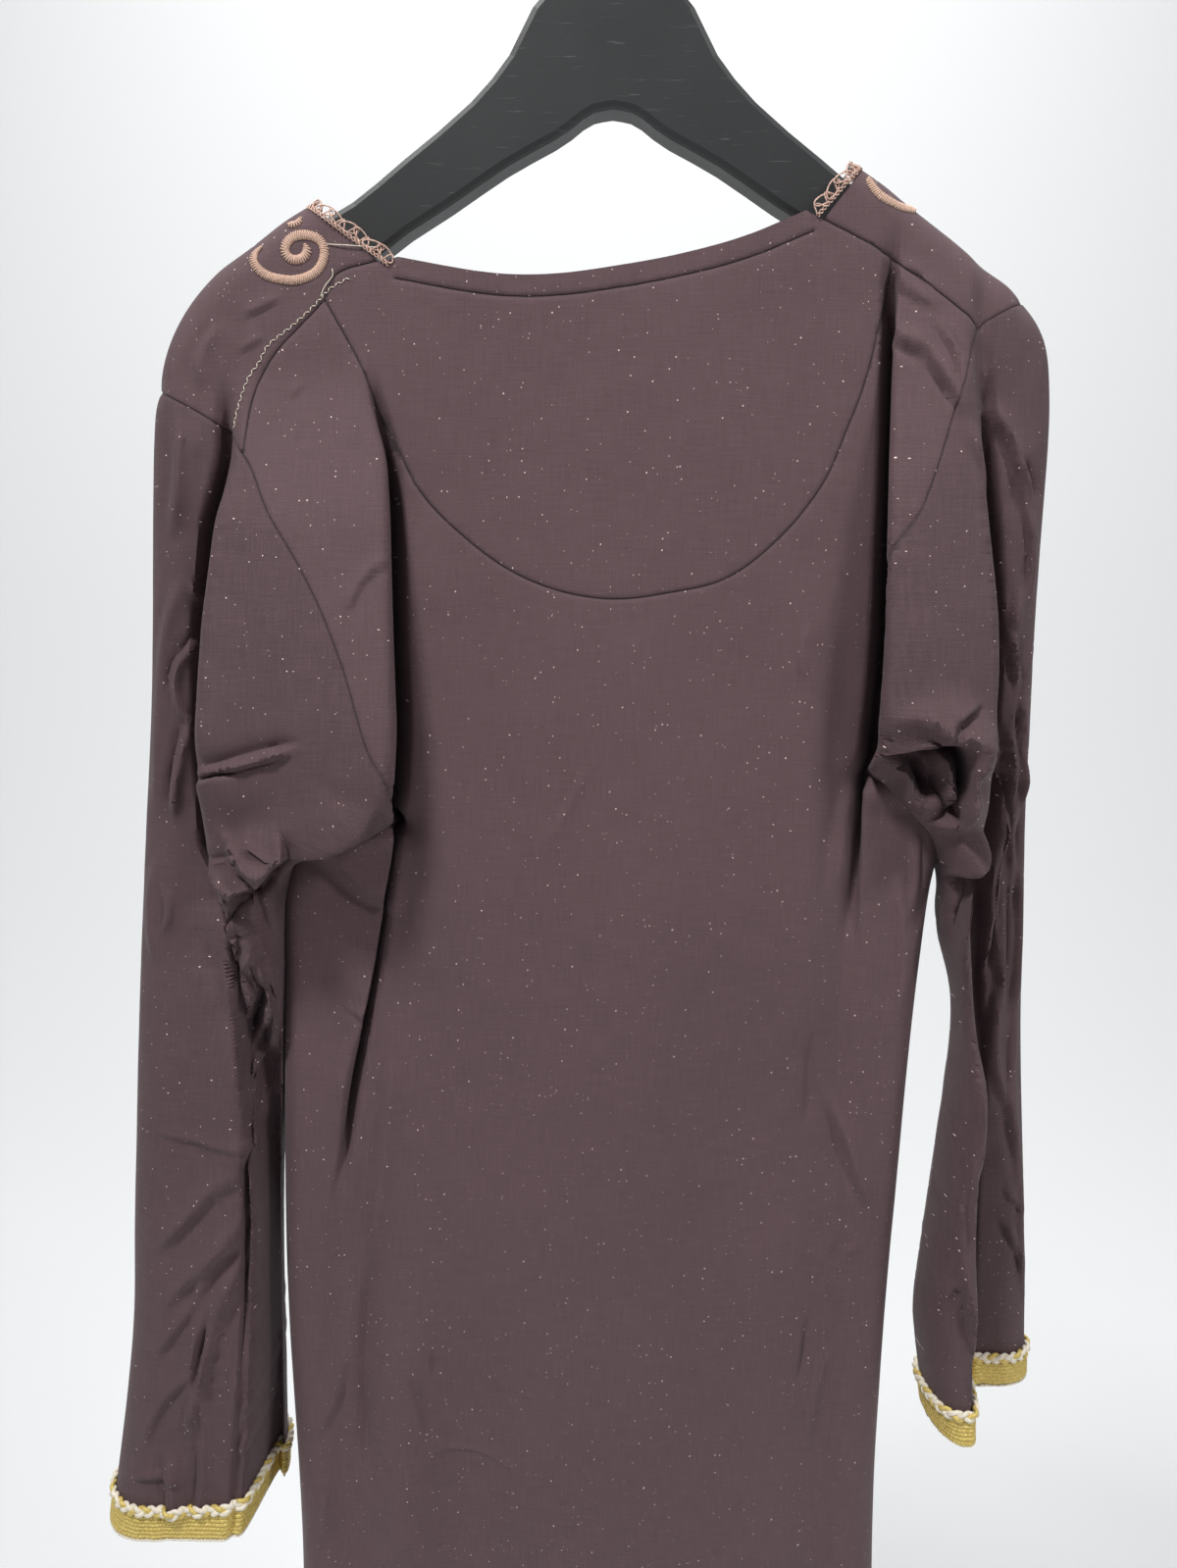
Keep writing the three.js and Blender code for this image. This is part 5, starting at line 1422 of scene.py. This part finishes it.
rose = thread_material("rose_gold_thread", (0.42, 0.24, 0.18), (0.86, 0.62, 0.52), 0.30, 0.25, 900.0)
curl = thread_material("curl_thread", (0.52, 0.32, 0.24), (0.84, 0.60, 0.47), 0.35, 0.05, 900.0)
ivory = thread_material("ivory_thread", (0.74, 0.64, 0.46), (1.0, 0.95, 0.84), 0.40, 0.05, 700.0)
gold = thread_material("gold_thread", (0.52, 0.36, 0.07), (0.95, 0.76, 0.26), 0.28, 0.30, 800.0)
finish_with("neck_lace", rose)
finish_with("shoulder_curls", curl)
finish_with("pale_stitches", ivory)
for side in ("left", "right"):
    finish_with(f"cuff_braid_{side}", gold, ivory)
print(len(bpy.data.materials), "materials")

# %% [markdown]
# ## Hanger
# The hanger is moulded in black plastic with a satin skin. The mould leaves a fine grain, and years of use
# leave hairline scratches and a patch of pale scuffs. One even roughness would look like paint. So noise
# that is stretched in one direction makes the scratches, and a distance from one spot the scuffs. The CAD
# solid has the right shape, so it stays, and only its finish is made here.

# %% Hanger material
SCUFF_AT, SCUFF_SIZE = (0.073, 0.0, -0.085), 0.020  # metres
plastic, shader, s = new_material("black_plastic", Specular_IOR_Level=0.42)
place = s.node("ShaderNodeTexCoord", out=3)
grain = s.node("ShaderNodeTexNoise", Vector=place, Scale=2600.0, Detail=2.0)
worn = s.node("ShaderNodeTexNoise", Vector=place, Scale=26.0, Detail=3.0)
along = s.node("ShaderNodeMapping", Vector=place, Rotation=(0.0, 0.6, 0.0), Scale=(60.0, 60.0, 900.0))
hairlines = s.node("ShaderNodeTexNoise", Vector=along, Scale=1.0, Detail=3.0)
scratch = ((hairlines - 0.66) * 14.0).clamp()
away = s.node("ShaderNodeVectorMath", {"operation": "DISTANCE"}, out="Value", i0=place, i1=SCUFF_AT)
patch = (1 - away * (1 / SCUFF_SIZE)).clamp()
strokes = s.node("ShaderNodeMapping", Vector=place, Rotation=(0.0, -0.7, 0.0), Scale=(160.0, 160.0, 420.0))
scuff = ((s.node("ShaderNodeTexNoise", Vector=strokes, Scale=1.0, Detail=2.0) - 0.54) * 9.0).clamp() * patch
marks = (scratch * 0.25 + scuff * 0.8).clamp()
colour = marks.blend((0.026, 0.027, 0.028), (0.16, 0.16, 0.165))
rough = worn * 0.16 + scratch * 0.15 + 0.40
bump = s.node("ShaderNodeBump", Strength=0.25, Distance=0.0002, Height=grain * 0.5 - scratch - scuff)
connect(shader, Base_Color=colour, Roughness=rough, Normal=bump)
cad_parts["hanger"].data.materials.clear()
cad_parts["hanger"].data.materials.append(plastic)

# %% [markdown]
# ## Riding on the frame
# Whoever reuses the kaftan moves its body and swaps its cloth, so every piece rides on the root body, and a
# solid with the piece's own name is hidden. Parenting by hand would do the first only. The frame's own calls
# do both.

# %% Bodies and solids
for name, piece in OBJECTS.items():
    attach(piece, "root")
    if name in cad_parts:
        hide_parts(name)
print(len(OBJECTS), "pieces ride on the root")

# %% [markdown]
# ## What each sheet was cut from
# A tailor cuts a sheet from flat cloth before it is sewn and hung. Its size could be left out, but then
# cloth might stretch unnoticed. The width and the length alone would say too little, because the cut of a
# piece isn't a rectangle, so its true flat area is given too.

# %% The cut of each sheet
CUTS = {  # width, length, area of the cloth that shows, in metres; what it hangs from
    "back": (0.44, 1.30, 0.50, ["back_yoke", "front"]),
    "back_yoke": (0.26, 0.16, 0.030, ["hanger", "neck_binding"]),
    "neck_binding": (0.20, 0.010, 0.0019, ["front"]),
    "front": (0.45, 1.34, 0.49, ["hanger"]),
    "sleeve_left": (0.30, 0.62, 0.165, ["back", "front"]),
    "sleeve_right": (0.26, 0.60, 0.138, ["back", "front"]),
}
for name, (wide, long, area, rests_on) in CUTS.items():
    print(name, "cut", wide, "x", long, "m,", area, "m2; in the mesh", round(AREAS[name], 4))

# %% [markdown]
# ## Studio
# A pale sweep of paper serves as floor and wall in one. Two planes would show a line where they meet, and a
# curve between them shows none. Light falls softly from above and in front, a little from the left.

# %% Floor and wall
FLOOR_Z, WALL_Y, SWEEP = -1.62, 2.8, 1.2  # metres; SWEEP is the radius of the curve between them
FRONT_END, WALL_TOP, HALF_WIDTH = -5.0, 3.5, 7  # metres
profile = [(FRONT_END, FLOOR_Z), (WALL_Y - SWEEP, FLOOR_Z)]
for turn in np.linspace(0, math.pi / 2, 13)[1:]:
    profile.append((WALL_Y - SWEEP + SWEEP * math.sin(turn), FLOOR_Z + SWEEP - SWEEP * math.cos(turn)))
profile.append((WALL_Y, WALL_TOP))
corners = [(x, y, z) for y, z in profile for x in (-HALF_WIDTH, HALF_WIDTH)]
faces = [(2 * i, 2 * i + 1, 2 * i + 3, 2 * i + 2) for i in range(len(profile) - 1)]
mesh = bpy.data.meshes.new("floor_and_wall")
mesh.from_pydata(corners, [], faces)
mesh.shade_smooth()
backdrop = bpy.data.objects.new("floor_and_wall", mesh)
bpy.context.scene.collection.objects.link(backdrop)
paper, shader, s = new_material("pale_paper", Roughness=0.95, Emission_Color=(0.95, 0.96, 0.96, 1),
                                Emission_Strength=0.19)
mottle = s.node("ShaderNodeTexNoise", Scale=3.0, Detail=2.0)
connect(shader, Base_Color=mottle.blend((0.80, 0.81, 0.81), (0.78, 0.79, 0.80)))
mesh.materials.append(paper)
print("sweep:", len(faces), "faces")

# %% [markdown]
# ## Light
# A studio lights cloth from one side, so that its creases cast small shadows, and fills the rest. A bright
# world alone would flatten them. Two lamps of 0.35 m give shadows with a soft edge, a dim world fills
# them, and a wide lamp lights the wall.

# %% World and lamps
world = bpy.data.worlds.new("room")
world.use_nodes = True
sky = world.node_tree.nodes["Background"].inputs
sky["Color"].default_value = (0.80, 0.81, 0.83, 1)
sky["Strength"].default_value = 0.26
bpy.context.scene.world = world


def soft_light(name, place, aim, size, watts):
    """A square lamp, in metres, that faces a point."""
    light = bpy.data.lights.new(name, "AREA")
    light.size, light.energy = size, watts
    lamp = bpy.data.objects.new(name, light)
    lamp.location = place
    lamp.rotation_euler = (Vector(aim) - Vector(place)).to_track_quat("-Z", "Y").to_euler()
    bpy.context.scene.collection.objects.link(lamp)


GARMENT = (0, 0, -0.6)
soft_light("ceiling", (-0.75, -1.05, 1.45), GARMENT, 0.35, 43)
soft_light("window", (1.35, -1.1, 0.9), GARMENT, 0.35, 17)
soft_light("wall_wash", (0.0, 1.2, 2.2), (0, 2.8, -0.9), 2.0, 42)
bpy.context.scene.view_settings.view_transform = "Standard"
print(len(bpy.data.lights), "lamps")
